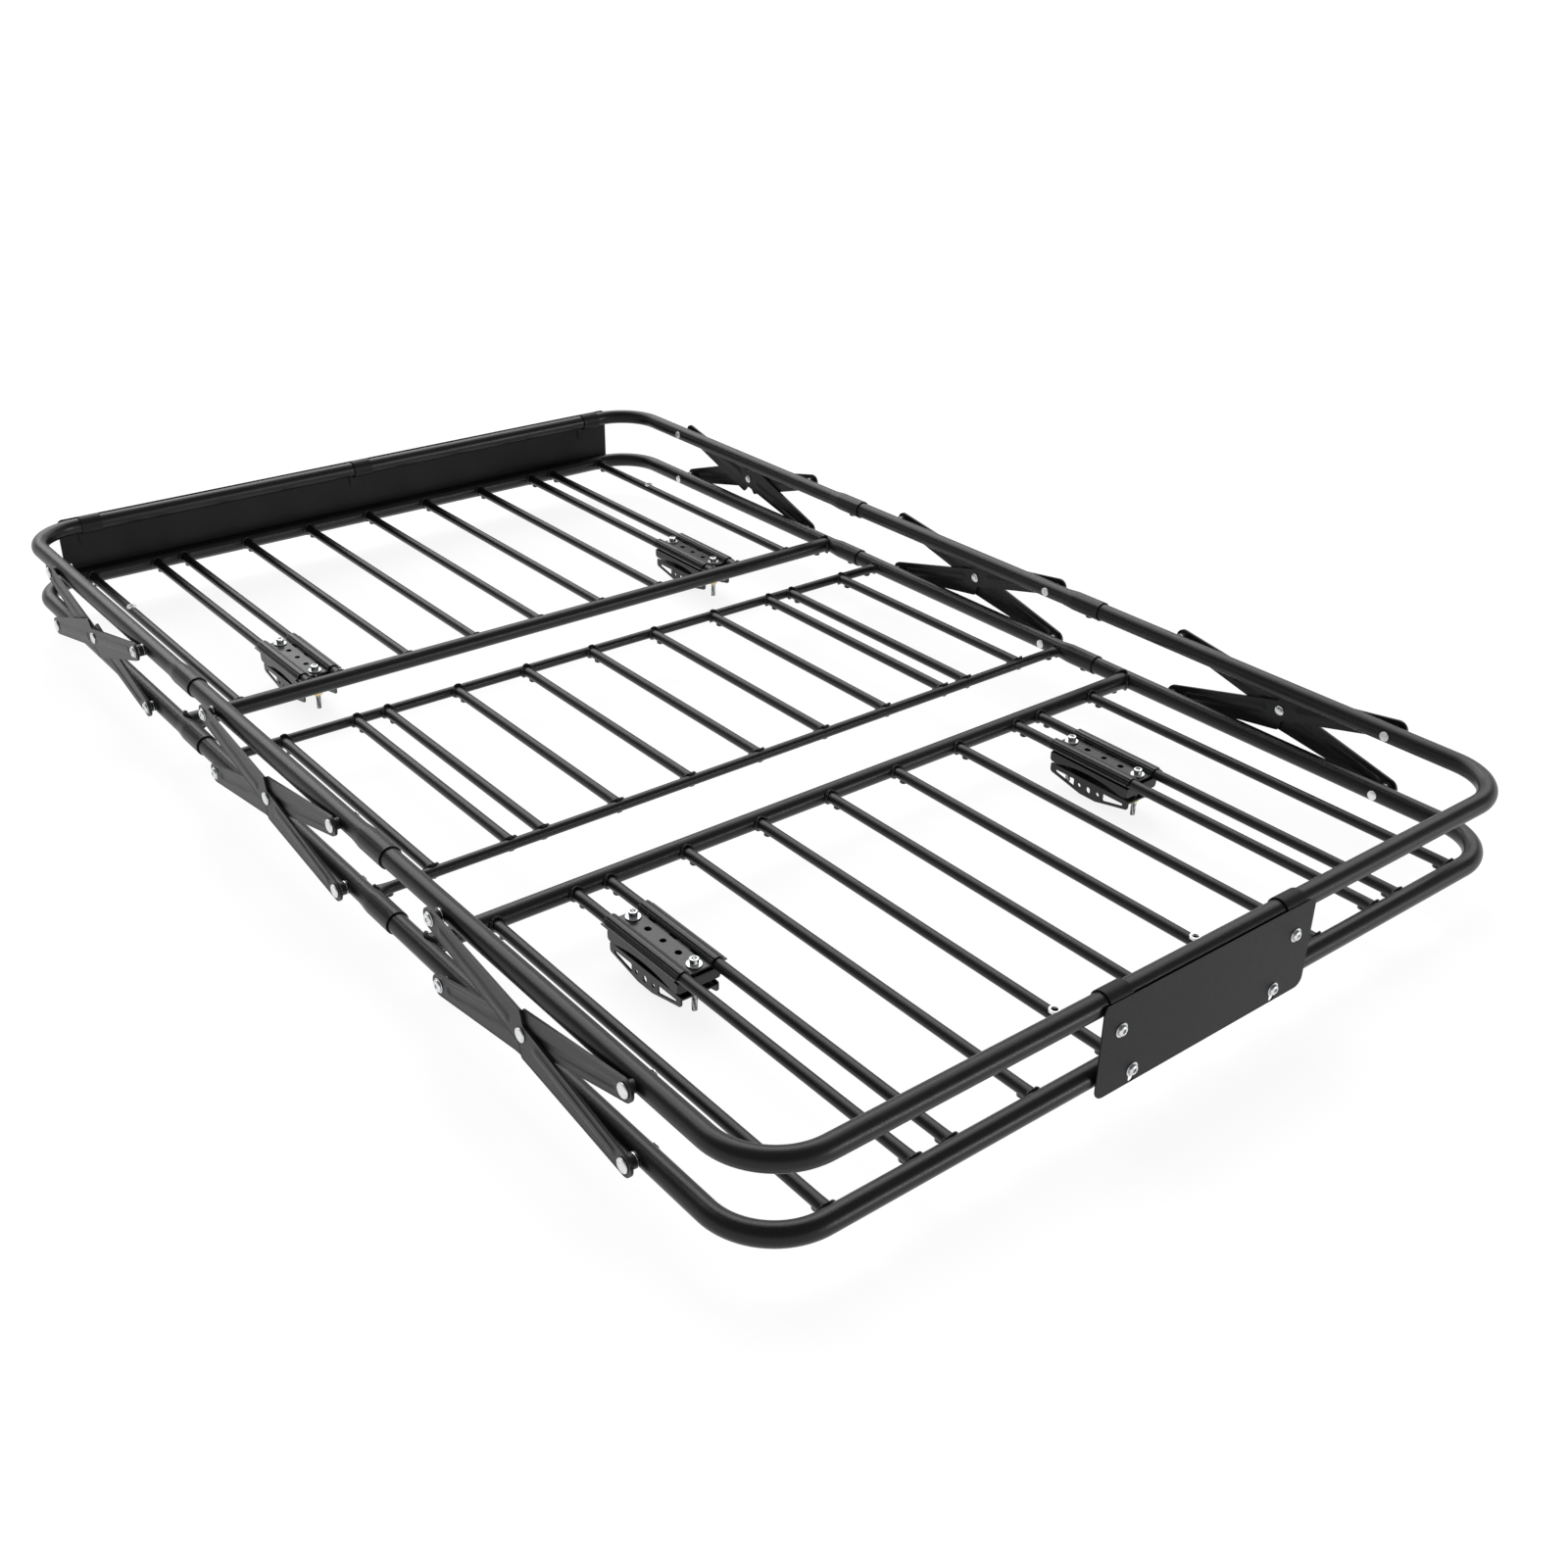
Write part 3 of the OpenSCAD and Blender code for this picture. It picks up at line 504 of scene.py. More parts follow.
def collar_skin(d):
    """Outer radius, by turn, of a swaged collar at d from its mouth."""
    step = COLLAR_STEP * smooth((COLLAR_L - d) / (1.2 * MM))
    shrink = smooth((d - COLLAR_FLAT) / (COLLAR_L - COLLAR_FLAT))
    swell = (COLLAR_R - RAIL_R - COLLAR_STEP) * (1 - shrink)
    depth = DIMPLE_DEPTH * smooth(d / (5 * MM)) * smooth((COLLAR_L - 4 * MM - d) / (10 * MM))

    def radius(turn):
        wave = 0.5 + 0.5 * math.cos(DIMPLES * turn + 0.5)
        return RAIL_R + step + swell - depth * wave ** 6

    return radius


def mouth_steps():
    """(distance from the mouth, radius) round a collar's lip, from deep in its bore outwards."""
    lip = [(16 * MM, COLLAR_BORE), (1.5 * MM, COLLAR_BORE), (0, COLLAR_BORE + MOUTH_EDGE)]
    lip += [(0, COLLAR_R - MOUTH_EDGE), (MOUTH_EDGE, COLLAR_R)]
    spread = [1.2, 3, 6, 10, 16, 24, 32, 38, 42, 44, 46, 48, 50, 52, 54, 56, 57.5, 58.5, 59, 59.4, 59.8, 60]
    return lip + [(d * MM, collar_skin(d * MM)) for d in spread]


def end_rail(bm, y0, z, collared, matrix):
    """A bent end rail; collared if its two ends are expanded, and plain plugs if not."""
    total = 2 * (BEND_Y - y0) + math.pi * BEND_R + 2 * BEND_X
    start = mouth_steps() if collared else [(0, RAIL_R - PLUG_EDGE), (PLUG_EDGE, RAIL_R)]
    plain = []
    s = start[-1][0] + BEND_STEP
    while s < total - start[-1][0] - 0.8 * BEND_STEP:
        plain.append((s, RAIL_R))
        s += BEND_STEP
    steps = start + plain + [(total - d, radius) for d, radius in start[::-1]]
    stations = []
    for s, radius in steps:
        place, heading = bend_point(s, y0)
        side = Vector((math.sin(heading), -math.cos(heading), 0))
        stations.append((place + z * Z_AXIS, side, Z_AXIS, radius))
    tube(bm, stations, matrix)


def middle_rail(bm, z, matrix):
    """A straight side rail: a collar at its rear end, a plug at its front end."""
    front = FRONT_MOUTH + PLUG_DEPTH
    steps = [(REAR_MOUTH + d, radius) for d, radius in mouth_steps()]
    steps += [(front - PLUG_EDGE, RAIL_R), (front, RAIL_R - PLUG_EDGE)]
    tube(bm, [(Vector((HALF_W, y, z)), X_AXIS, Z_AXIS, radius) for y, radius in steps], matrix)


def make_rails():
    for level, z, body in LEVELS:
        bm = bmesh.new()
        end_rail(bm, FRONT_MOUTH, z, True, Matrix())
        piece(f"front_{level}_tube", bm, body, RAIL_BLACK, [f"front_{level}_rail"])
        bm = bmesh.new()
        end_rail(bm, -REAR_MOUTH - PLUG_DEPTH, z, False, FLIP_Y)
        piece(f"rear_{level}_tube", bm, body, RAIL_BLACK, [f"rear_{level}_rail"])
        bm = bmesh.new()
        for side in BOTH_SIDES:
            middle_rail(bm, z, side)
        piece(f"mid_{level}_tubes", bm, body, RAIL_BLACK, [f"mid_{level}_rails"])


def button_head(bm, matrix, r, h, socket):
    """Domed hex-socket head, seat on z = 0. socket is the width over the socket's flats."""
    flat = socket / 2
    rim = flat * 1.3
    profile = [(r - 0.25 * MM, 0), (r, 0.25 * MM)]
    for k in range(8):
        rise = math.pi / 2 * k / 7
        profile.append((rim + (r - rim) * math.cos(rise), 0.3 * h + 0.7 * h * math.sin(rise)))
    profile += [(flat * 1.2, h - 0.05 * MM), (flat, h - 0.35 * MM, 6), (flat, 0.3 * h, 6)]
    profile += [(flat * 0.3, 0.12 * h)]
    turned(bm, profile, matrix)


def screw_matrix(z, y):
    """Head down under the right-hand rail, its seat sunk a little into the collar."""
    return Matrix.Translation((HALF_W, y, z - COLLAR_R + 0.3 * MM)) @ HEAD_DOWN


def make_joint_screws():
    for level, z, body in LEVELS:
        bm = bmesh.new()
        for side in BOTH_SIDES:
            for y in (FRONT_MOUTH + SCREW_INSET, REAR_MOUTH + SCREW_INSET):
                button_head(bm, side @ screw_matrix(z, y), *JOINT_HEAD)
        piece(f"{level}_screw_heads", bm, body, CLAMP_BLACK, [f"{level}_joint_screws"])


# ---------- floor ----------

# Millimetres from a coped end at which its section is drawn
END_STEPS = (-0.4, 0.6, 1.6, 3, 5, 8, 12, 17)


def coped(bm, start, along, r, start_r, length, end_r, flare, squash):
    """A tube between two cross tubes whose axes it meets at start and start + along * length.
    Its ends follow those tubes and widen by flare, or flatten by squash, towards them."""
    across = Vector((along.y, -along.x, 0))
    fade = END_STEPS[-1] * MM

    def ring(d, main_r, from_end):
        t = min(max(d / fade, 0), 1)
        wide = r * (1 + flare * (1 - t) ** 2)
        tall = r * (1 - squash * (1 - t) ** 2)
        points = []
        for i in range(TUBE_SIDES):
            turn = 2 * math.pi * i / TUBE_SIDES
            x, z = wide * math.cos(turn), tall * math.sin(turn)
            cope = math.sqrt(max(main_r * main_r - z * z, 0))
            s = d + cope * (1 - t) + main_r * t
            s = length - s if from_end else s
            points.append(start + along * s + across * x + z * Z_AXIS)
        return points

    rings = [ring(d * MM, start_r, False) for d in END_STEPS]
    rings += [ring(d * MM, end_r, True) for d in reversed(END_STEPS)]
    skin(bm, rings)


def weld(bm, centre, out, main_r, r, size, seed, lumps=0.0):
    """A bead round a branch tube of radius r that leaves a main tube's axis at centre."""
    across = Vector((-out.y, out.x, 0))
    rand = random.Random(seed)
    phase = rand.uniform(0, 2 * math.pi)
    waves = rand.choice((13, 14, 15, 16))
    stations = []
    count = 56
    for i in range(count):
        turn = 2 * math.pi * i / count
        height = r * math.sin(turn)
        depth = math.sqrt(max(main_r * main_r - height * height, 0.04 * main_r * main_r))
        radial = across * math.cos(turn) + Vector((0, 0, math.sin(turn)))
        outward = (out * depth + Vector((0, 0, height))).normalized()
        ripple = 1 + 0.13 * math.sin(waves * turn + phase) + 0.1 * math.sin(3 * turn + 2 * phase)
        ripple += lumps * abs(math.cos(turn)) ** 6
        place = centre + radial * r + out * depth
        place += (radial + outward) * size * 0.12
        stations.append((place, radial, outward, size * ripple))
    tube(bm, stations, close=True, sides=10)


def crossbar(bm, y, r, flare):
    """A tube of radius r from rail to rail at y."""
    coped(bm, Vector((-HALF_W, y, FLOOR_Z)), X_AXIS, r, RAIL_R, 2 * HALF_W, RAIL_R, flare, squash=0)


def crossbar_welds(bm, y, r, size, seed):
    """The beads at both ends of the crossbar at y."""
    for side in (-1, 1):
        weld(bm, Vector((side * HALF_W, y, FLOOR_Z)), -side * X_AXIS, RAIL_R, r, size, seed + side)


def make_crossbars():
    for section, y in (("front", CROSSBAR_Y), ("rear", -CROSSBAR_Y)):
        bm = bmesh.new()
        crossbar(bm, y, CROSSBAR_R, flare=0.1)
        piece(f"{section}_crossbar_tube", bm, "floor_frame", RAIL_BLACK, [f"{section}_crossbar"])
    bm = bmesh.new()
    for side in (-1, 1):
        crossbar(bm, side * THIN_BAR_Y, SLAT_R, flare=0.75)
    piece("thin_crossbar_tubes", bm, "floor_frame", RAIL_BLACK, ["thin_crossbars"])
    bm = bmesh.new()
    for side in (-1, 1):
        crossbar_welds(bm, side * CROSSBAR_Y, CROSSBAR_R, CROSSBAR_BEAD, seed=10 * side)
        crossbar_welds(bm, side * THIN_BAR_Y, SLAT_R, THIN_BAR_BEAD, seed=100 * side)
    piece("crossbar_welds", bm, "floor_frame", RAIL_BLACK, crease=80)


def slat_row(name, y0, r0, y1, r1, drill=()):
    """One section's slats, their welds, and holes at drill for the accessory nuts."""
    bm = bmesh.new()
    for x in SLAT_XS:
        coped(bm, Vector((x, y0, FLOOR_Z)), Y_AXIS, SLAT_R, r0, y1 - y0, r1, flare=0.16, squash=0.1)
    slats = piece(f"{name}_tubes", bm, "floor_frame", RAIL_BLACK, [name])
    if drill:
        drill_down(slats, drill, BOLT_R, NUT_HOLE_DEPTH)
    bm = bmesh.new()
    for i, x in enumerate(SLAT_XS):
        seed = i + round(abs(y0) * 1000)
        weld(bm, Vector((x, y0, FLOOR_Z)), Y_AXIS, r0, SLAT_R * 1.08, SLAT_BEAD, seed, lumps=0.8)
        weld(bm, Vector((x, y1, FLOOR_Z)), -Y_AXIS, r1, SLAT_R * 1.08, SLAT_BEAD, -seed, lumps=0.8)
    piece(f"{name}_welds", bm, "floor_frame", RAIL_BLACK, crease=80)


def drill_down(target, places, radius, depth):
    """Cuts blind holes down into a piece and keeps the result as its mesh."""
    above = 2 * MM
    bm = bmesh.new()
    for place in places:
        turned(bm, [(radius, -depth), (radius, above)], Matrix.Translation(place), sides=32)
    mesh = bpy.data.meshes.new("drill")
    bm.to_mesh(mesh)
    bm.free()
    cutter = bpy.data.objects.new("drill", mesh)
    bpy.context.scene.collection.objects.link(cutter)
    cut = target.modifiers.new("drill", "BOOLEAN")
    cut.operation = "DIFFERENCE"
    cut.solver = "EXACT"
    cut.object = cutter
    bpy.context.view_layer.update()
    result = bpy.data.meshes.new_from_object(target.evaluated_get(bpy.context.evaluated_depsgraph_get()))
    target.modifiers.remove(cut)
    target.data = result
    bpy.data.objects.remove(cutter)


def nut_places():
    """Tops of the four accessory nuts' slats."""
    top = FLOOR_Z + SLAT_R
    outer = [(side * OUTER_SLAT_X, FRONT_NUT_Y, top) for side in (-1, 1)]
    inner = [(side * SLAT_PITCH, REAR_NUT_Y, top) for side in (-1, 1)]
    return outer, inner


def make_slats():
    front, rear = nut_places()
    slat_row("front_slats", CROSSBAR_Y, CROSSBAR_R, HALF_L, RAIL_R, front)
    slat_row("mid_slats", -THIN_BAR_Y, SLAT_R, THIN_BAR_Y, SLAT_R)
    slat_row("rear_slats", -HALF_L, RAIL_R, -CROSSBAR_Y, CROSSBAR_R, rear)


def make_slat_nuts():
    """Flanged threaded inserts, seen as bright eyelets."""
    bm = bmesh.new()
    ring = [(6 * MM, -1.2 * MM), (6 * MM, 0.6 * MM), (5.6 * MM, 1 * MM), (3.7 * MM, 1 * MM)]
    ring += [(3.2 * MM, 0.6 * MM), (2.9 * MM, -0.4 * MM), (2.9 * MM, -4 * MM), (3.4 * MM, -4 * MM)]
    front, rear = nut_places()
    for place in front + rear:
        turned(bm, ring, Matrix.Translation(place), close=True, sides=40)
    piece("slat_eyelets", bm, "floor_frame", ZINC, ["slat_rivet_nuts"])


def make_drain_plugs():
    """Domed plugs under the slat ends and the crossbar ends."""
    bm = bmesh.new()
    rail_in = HALF_L - RAIL_R - DRAIN_INSET
    bar_in = CROSSBAR_Y + CROSSBAR_R + DRAIN_INSET
    mid_in = THIN_BAR_Y - SLAT_R - DRAIN_INSET
    places = [(x, y, SLAT_R) for x in SLAT_XS for y in (rail_in, bar_in, mid_in, -mid_in, -bar_in, -rail_in)]
    for side in (-1, 1):
        x = side * (HALF_W - RAIL_R - DRAIN_INSET)
        places += [(x, CROSSBAR_Y, CROSSBAR_R), (x, -CROSSBAR_Y, CROSSBAR_R)]
        places += [(x, THIN_BAR_Y, SLAT_R), (x, -THIN_BAR_Y, SLAT_R)]
    dome = [(DRAIN_R, -DRAIN_R)]
    for width, drop in ((1, 0.4), (0.93, 0.6), (0.78, 0.8), (0.5, 0.94), (0.2, 1)):
        dome.append((DRAIN_R * width, DRAIN_DROP * drop))
    for x, y, r in places:
        turned(bm, dome, Matrix.Translation((x, y, FLOOR_Z - r)) @ HEAD_DOWN, sides=24)
    piece("drain_plug_domes", bm, "floor_frame", CLAMP_BLACK, ["drain_plugs"])


# ---------- braces ----------

def outboard(x, y, z):
    """Turns +Z to +X and puts it on the right-hand side at x."""
    return Matrix.Translation((x, y, z)) @ Matrix.Rotation(math.pi / 2, 4, "Y")


def spacer(bm, y, z, face, r, matrix, highlight_rings):
    """A boss from the rail to face; bright zinc rings at its ends, where a mesh for them is given, are
    painted highlights on the black boss's end edges.
    """
    start = HALF_W + RAIL_R * 0.8
    length = face - start
    shell = [(r - 0.3 * MM, 0), (r, 0.3 * MM), (r, length - 0.6 * MM), (r - 0.5 * MM, length - 0.1 * MM)]
    turned(bm, shell, matrix @ outboard(start, y, z), sides=40)
    if highlight_rings is None:
        return
    # Painted highlights: bright zinc rings that stand in for the light caught on the boss's end edges.
    for at in (HALF_W + RAIL_R + 0.4 * MM, face - 1.3 * MM):
        edge = r + 0.25 * MM
        ring = [(r - 0.6 * MM, 0), (edge, 0.1 * MM), (edge, 0.7 * MM), (r - 0.6 * MM, 0.8 * MM)]
        turned(highlight_rings, ring, matrix @ outboard(at, y, z), sides=40)


def make_bosses():
    """Outer legs turn on the floor rails and inner legs on the top rails; each bolts to the other."""
    pivots, bolted = (OUTER_BOSS, INNER_BOSS), (INNER_BOSS, OUTER_BOSS)
    for (level, z, body), at_pivot, at_bolt in zip(LEVELS, pivots, bolted):
        bm, highlight_rings = bmesh.new(), bmesh.new()
        for side in BOTH_SIDES:
            for y in PIVOT_YS:
                spacer(bm, y, z, *at_pivot, side, highlight_rings if level == "floor" else None)
            for y in SCREW_YS:
                spacer(bm, y, z, *at_bolt, side, highlight_rings)
        piece(f"{level}_spacers", bm, body, LEG_BLACK, [f"{level}_bosses"])
        # The bright rings are painted highlights on the bosses' edges. The top rails' pivots get none.
        piece(f"{level}_spacer_highlight_rings", highlight_rings, body, ZINC)


def rivet_head(bm, matrix):
    """A flat-topped rivet head with a rolled rim."""
    r, h = RIVET_R, RIVET_H
    profile = [(r - 0.3 * MM, 0), (r, 0.3 * MM), (r, 0.55 * h), (r * 0.95, 0.85 * h), (r * 0.86, h)]
    profile += [(r * 0.7, h), (r * 0.62, h - 0.12 * MM), (r * 0.3, h - 0.15 * MM)]
    turned(bm, profile, matrix)


def make_rivets():
    """The pivots: a head outside the leg, and a small domed end on the rail's inner side."""
    domed_end = [(4.5 * MM, -0.6 * MM), (5.5 * MM, 0), (5.5 * MM, 0.7 * MM), (4.2 * MM, 1.3 * MM)]
    domed_end += [(1.5 * MM, 1.5 * MM)]
    inside = HALF_W - RAIL_R + 0.3 * MM
    for (level, z, body), leg_x in zip(LEVELS, (OUTER_LEG_X, INNER_LEG_X)):
        bm = bmesh.new()
        for side in BOTH_SIDES:
            for y in PIVOT_YS:
                rivet_head(bm, side @ outboard(leg_x + LEG_T + LEG_PLAY, y, z))
                turned(bm, domed_end, side @ outboard(inside, y, z) @ HEAD_DOWN, sides=40)
        piece(f"{level}_rivet_heads", bm, body, RIVET_STEEL, [f"{level}_rivets"])


def leg_matrix(x, y, z, angle):
    """Puts a leg drawn in X and Y in its side plane, its thickness towards +X."""
    return Matrix.Translation((x, y, z)) @ Matrix.Rotation(angle, 4, "X") @ TO_SIDE


def leg_edge(u):
    """A leg's widening edge at u from the end where it is narrow: it ends in a shoulder."""
    if u < SHOULDER_START:
        return LEG_R + (LEG_SHOULDER - LEG_R) * u / SHOULDER_START
    if u < SHOULDER_START + SHOULDER_FALL:
        drop = LEG_SHOULDER - LEG_R - LEG_TAPER
        return LEG_SHOULDER - drop * smooth((u - SHOULDER_START) / SHOULDER_FALL)
    return LEG_R + LEG_TAPER * (LEG_L - u) / (LEG_L / 2)


def leg_span(u, lean):
    """Lower and upper edges of a leg at u from its pivot, round ends included."""
    over = max(-u, u - LEG_L, 0)
    if over > 0:
        half = max(math.sqrt(max(LEG_R * LEG_R - over * over, 0)), 0.2 * MM)
        return -half, half
    edges = (-leg_edge(LEG_L - u), leg_edge(u))
    return edges if lean > 0 else (-edges[1], -edges[0])


def leg_relief(u, v, edge):
    """How much of the rib, and of the turned-up rim, there is at u, v; edge is how far in it is."""
    rib = 0.0
    for start, end in RIBS:
        along = max(start - u, u - end, 0)
        rib = max(rib, 1 - smooth((math.hypot(along, v) - RIB_HALF) / (1.5 * MM)))
    rim = 1 - smooth((edge - 0.4 * MM) / (1.1 * MM))
    return rib, rim


# Places across a leg: 0 is midway, and -1 and 1 are its edges
HALF_FRACTIONS = (0.15, 0.28, 0.34, 0.4, 0.46, 0.52, 0.65, 0.8, 0.88, 0.93, 0.97, 1)
LEG_FRACTIONS = tuple(-f for f in HALF_FRACTIONS[::-1]) + (0,) + HALF_FRACTIONS


def leg_rows():
    """Places along a leg, closer together at its round ends and at its crossing."""
    ends = [-LEG_R * math.cos(math.pi / 2 * k / 8) for k in range(9)]
    ends[0] *= 0.999
    rows = list(ends)
    u = LEG_STEP
    while u < LEG_L - 1 * MM:
        rows.append(u)
        u += 1 * MM if abs(u - LEG_L / 2) < 9 * MM else LEG_STEP
    return rows + [LEG_L - u for u in reversed(ends)]


def leg(bm, matrix, rib_depth, lean):
    """One pressed leg; rib_depth is positive for ribs that stand outboard, and the sign of lean
    says which of its edges widens first."""
    front, back = [], []
    for u in leg_rows():
        lower, upper = leg_span(u, lean)
        over = max(-u, u - LEG_L, 0)
        front_row, back_row = [], []
        for f in LEG_FRACTIONS:
            v = lower + (upper - lower) * (f + 1) / 2
            edge = LEG_R - math.hypot(over, v) if over else min(upper - v, v - lower)
            rib, rim = leg_relief(u, v, edge)
            lift = rib * rib_depth
            front_row.append((u, v, LEG_T + lift + RIM_LIFT * rim))
            back_row.append((u, v, lift))
        front.append(front_row)
        back.append(back_row)
    sheet_solid(bm, front, back, matrix)


def make_legs():
    """The front station's legs point to the rear, and the others to the front."""
    layers = (("outer", FLOOR_Z, OUTER_LEG_X, RIB_DEPTH, LEG_ANGLE),
              ("inner", TOP_Z, INNER_LEG_X, -RIB_DEPTH, -LEG_ANGLE))
    for station, y in zip(STATIONS, PIVOT_YS):
        for layer, z, face, depth, rise in layers:
            angle = math.pi - rise if station == "front" else rise
            body = f"{station}_{layer}_brace"
            bm, bolts = bmesh.new(), bmesh.new()
            for side in BOTH_SIDES:
                leg(bm, side @ leg_matrix(face, y, z, angle), depth, -depth)
                leg_bolt(bolts, side @ leg_matrix(face + LEG_T, y, z, angle))
                if layer == "outer":
                    centre_rivet(bolts, side @ leg_matrix(0, y, z, angle))
            piece(f"{station}_{layer}_pressings", bm, body, LEG_BLACK,
                  [f"{station}_{layer}_legs"], soften=0.3 * MM)
            piece(f"{station}_{layer}_bolt_heads", bolts, body, ZINC, [f"{station}_{layer}_bolts"])


def leg_bolt(bm, matrix):
    """The button-head bolt at a leg's far end, its washer under it."""
    at = matrix @ Matrix.Translation((LEG_L, 0, 0.05 * MM))
    turned(bm, [(6.9 * MM, 0), (7.2 * MM, 0.2 * MM), (7.2 * MM, 0.6 * MM), (6.9 * MM, WASHER_T)], at)
    button_head(bm, lifted(at, WASHER_T), *LEG_HEAD)


def centre_rivet(bm, matrix):
    """The rivet where two legs cross: heads on both faces and the shank between them."""
    at = matrix @ Matrix.Translation((LEG_L / 2, 0, 0))
    rivet_head(bm, lifted(at, OUTER_LEG_X + LEG_T + 0.05 * MM))
    inner = INNER_LEG_X - LEG_PLAY
    back_head = [(6 * MM, 0), (6 * MM, 0.8 * MM), (4.5 * MM, 1.4 * MM), (2 * MM, 1.5 * MM)]
    turned(bm, back_head, lifted(at, inner) @ HEAD_DOWN)
    shank = [(BOLT_R, inner - 0.5 * MM), (BOLT_R, OUTER_LEG_X + LEG_T + 0.5 * MM)]
    turned(bm, shank, at, sides=24)


# ---------- panels ----------

def fairing_rows(bottom, top, beads):
    """Heights of the fairing's grid: close together at its corners and its beads."""
    ease = [FAIRING_CORNER * (1 - math.cos(math.pi / 2 * k / 7)) for k in range(8)]
    rows = [bottom + e for e in ease]
    z = rows[-1] + 6 * MM
    while z < min(beads) - 4 * MM:
        rows.append(z)
        z += 6 * MM
    for bead in beads:
        rows += [bead + d * MM for d in (-3, -2.2, -1.5, -0.8, 0, 0.8, 1.5, 2.2, 3)]
    rows += [top - e for e in ease]
    return sorted(set(round(z, 6) for z in rows))


def make_fairing():
    """The front panel: rounded corners and two pressed beads near its top edge."""
    bottom, top = low("fairing").z, high("fairing").z
    beads = [top - drop for drop in BEAD_DROPS]
    front, back = [], []
    for z in fairing_rows(bottom, top, beads):
        near = max(FAIRING_CORNER - min(z - bottom, top - z), 0)
        half = FAIRING_HALF - FAIRING_CORNER + math.sqrt(max(FAIRING_CORNER ** 2 - near ** 2, 0))
        row_front, row_back = [], []
        for k in range(41):
            x = half * (k / 20 - 1)
            fade = smooth((half - 10 * MM - abs(x)) / (6 * MM))
            crown = max(1 - smooth((abs(z - bead) - 0.5 * MM) / (2 * MM)) for bead in beads)
            press = BEAD_RISE * fade * crown
            row_front.append((x, PANEL_OUT + press, z))
            row_back.append((x, PANEL_IN + press, z))
        front.append(row_front)
        back.append(row_back)
    bm = bmesh.new()
    sheet_solid(bm, front, back)
    piece("fairing_sheet", bm, "guard_rail", PANEL_BLACK, ["fairing"], soften=0.3 * MM)


def make_rear_plate():
    """The blank plate at the back: rounded corners, and slots under its lower bolts."""
    bottom, top = low("rear_plate").z, high("rear_plate").z
    corners = [(-PLATE_HALF, bottom, PLATE_CORNER), (PLATE_HALF, bottom, PLATE_CORNER),
               (PLATE_HALF, top, PLATE_TOP_CORNER), (-PLATE_HALF, top, PLATE_TOP_CORNER)]
    holes = []
    for side in (-1, 1):
        holes.append(round_hole(side * PLATE_CLIP_X, CLIP_BOLT_Z, BOLT_HOLE_R))
        holes.append(round_hole(side * PLATE_LOW_X, LOW_BOLT_Z - 5 * MM, BOLT_HOLE_R, 10 * MM))
    bm = bmesh.new()
    plate(bm, rounded(corners), holes, SHEET, Matrix.Translation((0, -PANEL_IN, 0)) @ ON_EDGE)
    piece("rear_plate_sheet", bm, "guard_rail", PANEL_BLACK, ["rear_plate"], crease=20)


def strap(bm, x, matrix):
    """A strap over the top rail: three quarters round it, with a tail down behind the panel."""
    mid = CLIP_R + SHEET / 2
    from_tips = [0, 1 * MM, 2.2 * MM] + [CLIP_TAIL * k / 8 for k in range(1, 9)]
    path = [(Vector((0, mid, d - CLIP_TAIL)), Y_AXIS, d) for d in from_tips]
    for k in range(1, 28):
        turn = math.radians(10 * k)
        out = Vector((0, math.cos(turn), math.sin(turn)))
        path.append((mid * out, out, CLIP_TAIL))
    front, back = [], []
    for centre, out, from_tip in path:
        half = CLIP_W / 2
        if from_tip < CLIP_CORNER:
            half -= CLIP_CORNER - math.sqrt(CLIP_CORNER ** 2 - (CLIP_CORNER - from_tip) ** 2)
        columns = [half * k / 6 for k in range(-6, 7)]
        front.append([centre + out * SHEET / 2 + c * X_AXIS for c in columns])
        back.append([centre - out * SHEET / 2 + c * X_AXIS for c in columns])
    sheet_solid(bm, front, back, matrix @ Matrix.Translation((x, HALF_L, TOP_Z)))


def make_straps():
    bm = bmesh.new()
    for x in FAIRING_CLIP_XS:
        strap(bm, x, Matrix())
    piece("fairing_straps", bm, "guard_rail", PANEL_BLACK, ["fairing_clips"], soften=0.3 * MM)
    bm = bmesh.new()
    for side in (-1, 1):
        strap(bm, side * PLATE_CLIP_X, FLIP_Y)
    piece("plate_straps", bm, "guard_rail", PANEL_BLACK, ["plate_clips"], soften=0.3 * MM)


def panel_bolt(bm, x, z, shank, matrix):
    """Washer, domed socket head and shank, seen from outside the panel."""
    at = matrix @ Matrix.Translation((x, PANEL_OUT + 0.05 * MM, z)) @ Matrix.Rotation(-math.pi / 2, 4, "X")
    washer = [(3.4 * MM, 0), (6.8 * MM, 0), (7 * MM, 0.2 * MM), (7 * MM, 0.6 * MM), (6.8 * MM, WASHER_T)]
    turned(bm, washer + [(3.4 * MM, WASHER_T)], at, close=True)
    button_head(bm, lifted(at, WASHER_T), *PANEL_HEAD)
    turned(bm, [(2.6 * MM, -shank), (BOLT_R, -shank + 0.4 * MM), (BOLT_R, 1 * MM)], at, sides=24)


def make_panel_bolts():
    bm = bmesh.new()
    through = 2 * SHEET + 0.05 * MM
    for x in FAIRING_CLIP_XS:
        panel_bolt(bm, x, CLIP_BOLT_Z, through, Matrix())
    for side in (-1, 1):
        panel_bolt(bm, side * FAIRING_LOW_X, LOW_BOLT_Z, SHEET, Matrix())
        panel_bolt(bm, side * PLATE_CLIP_X, CLIP_BOLT_Z, through, FLIP_Y)
        panel_bolt(bm, side * PLATE_LOW_X, LOW_BOLT_Z, SHEET, FLIP_Y)
    piece("panel_bolt_heads", bm, "guard_rail", ZINC, ["panel_bolts"])


# ---------- clamps ----------

def extruded(bm, section, length, matrix):
    """A closed section in X and Z, extruded along Y and centred."""
    rings = [[(x, y, z) for x, z in section] for y in (-length / 2, length / 2)]
    skin(bm, rings, matrix)


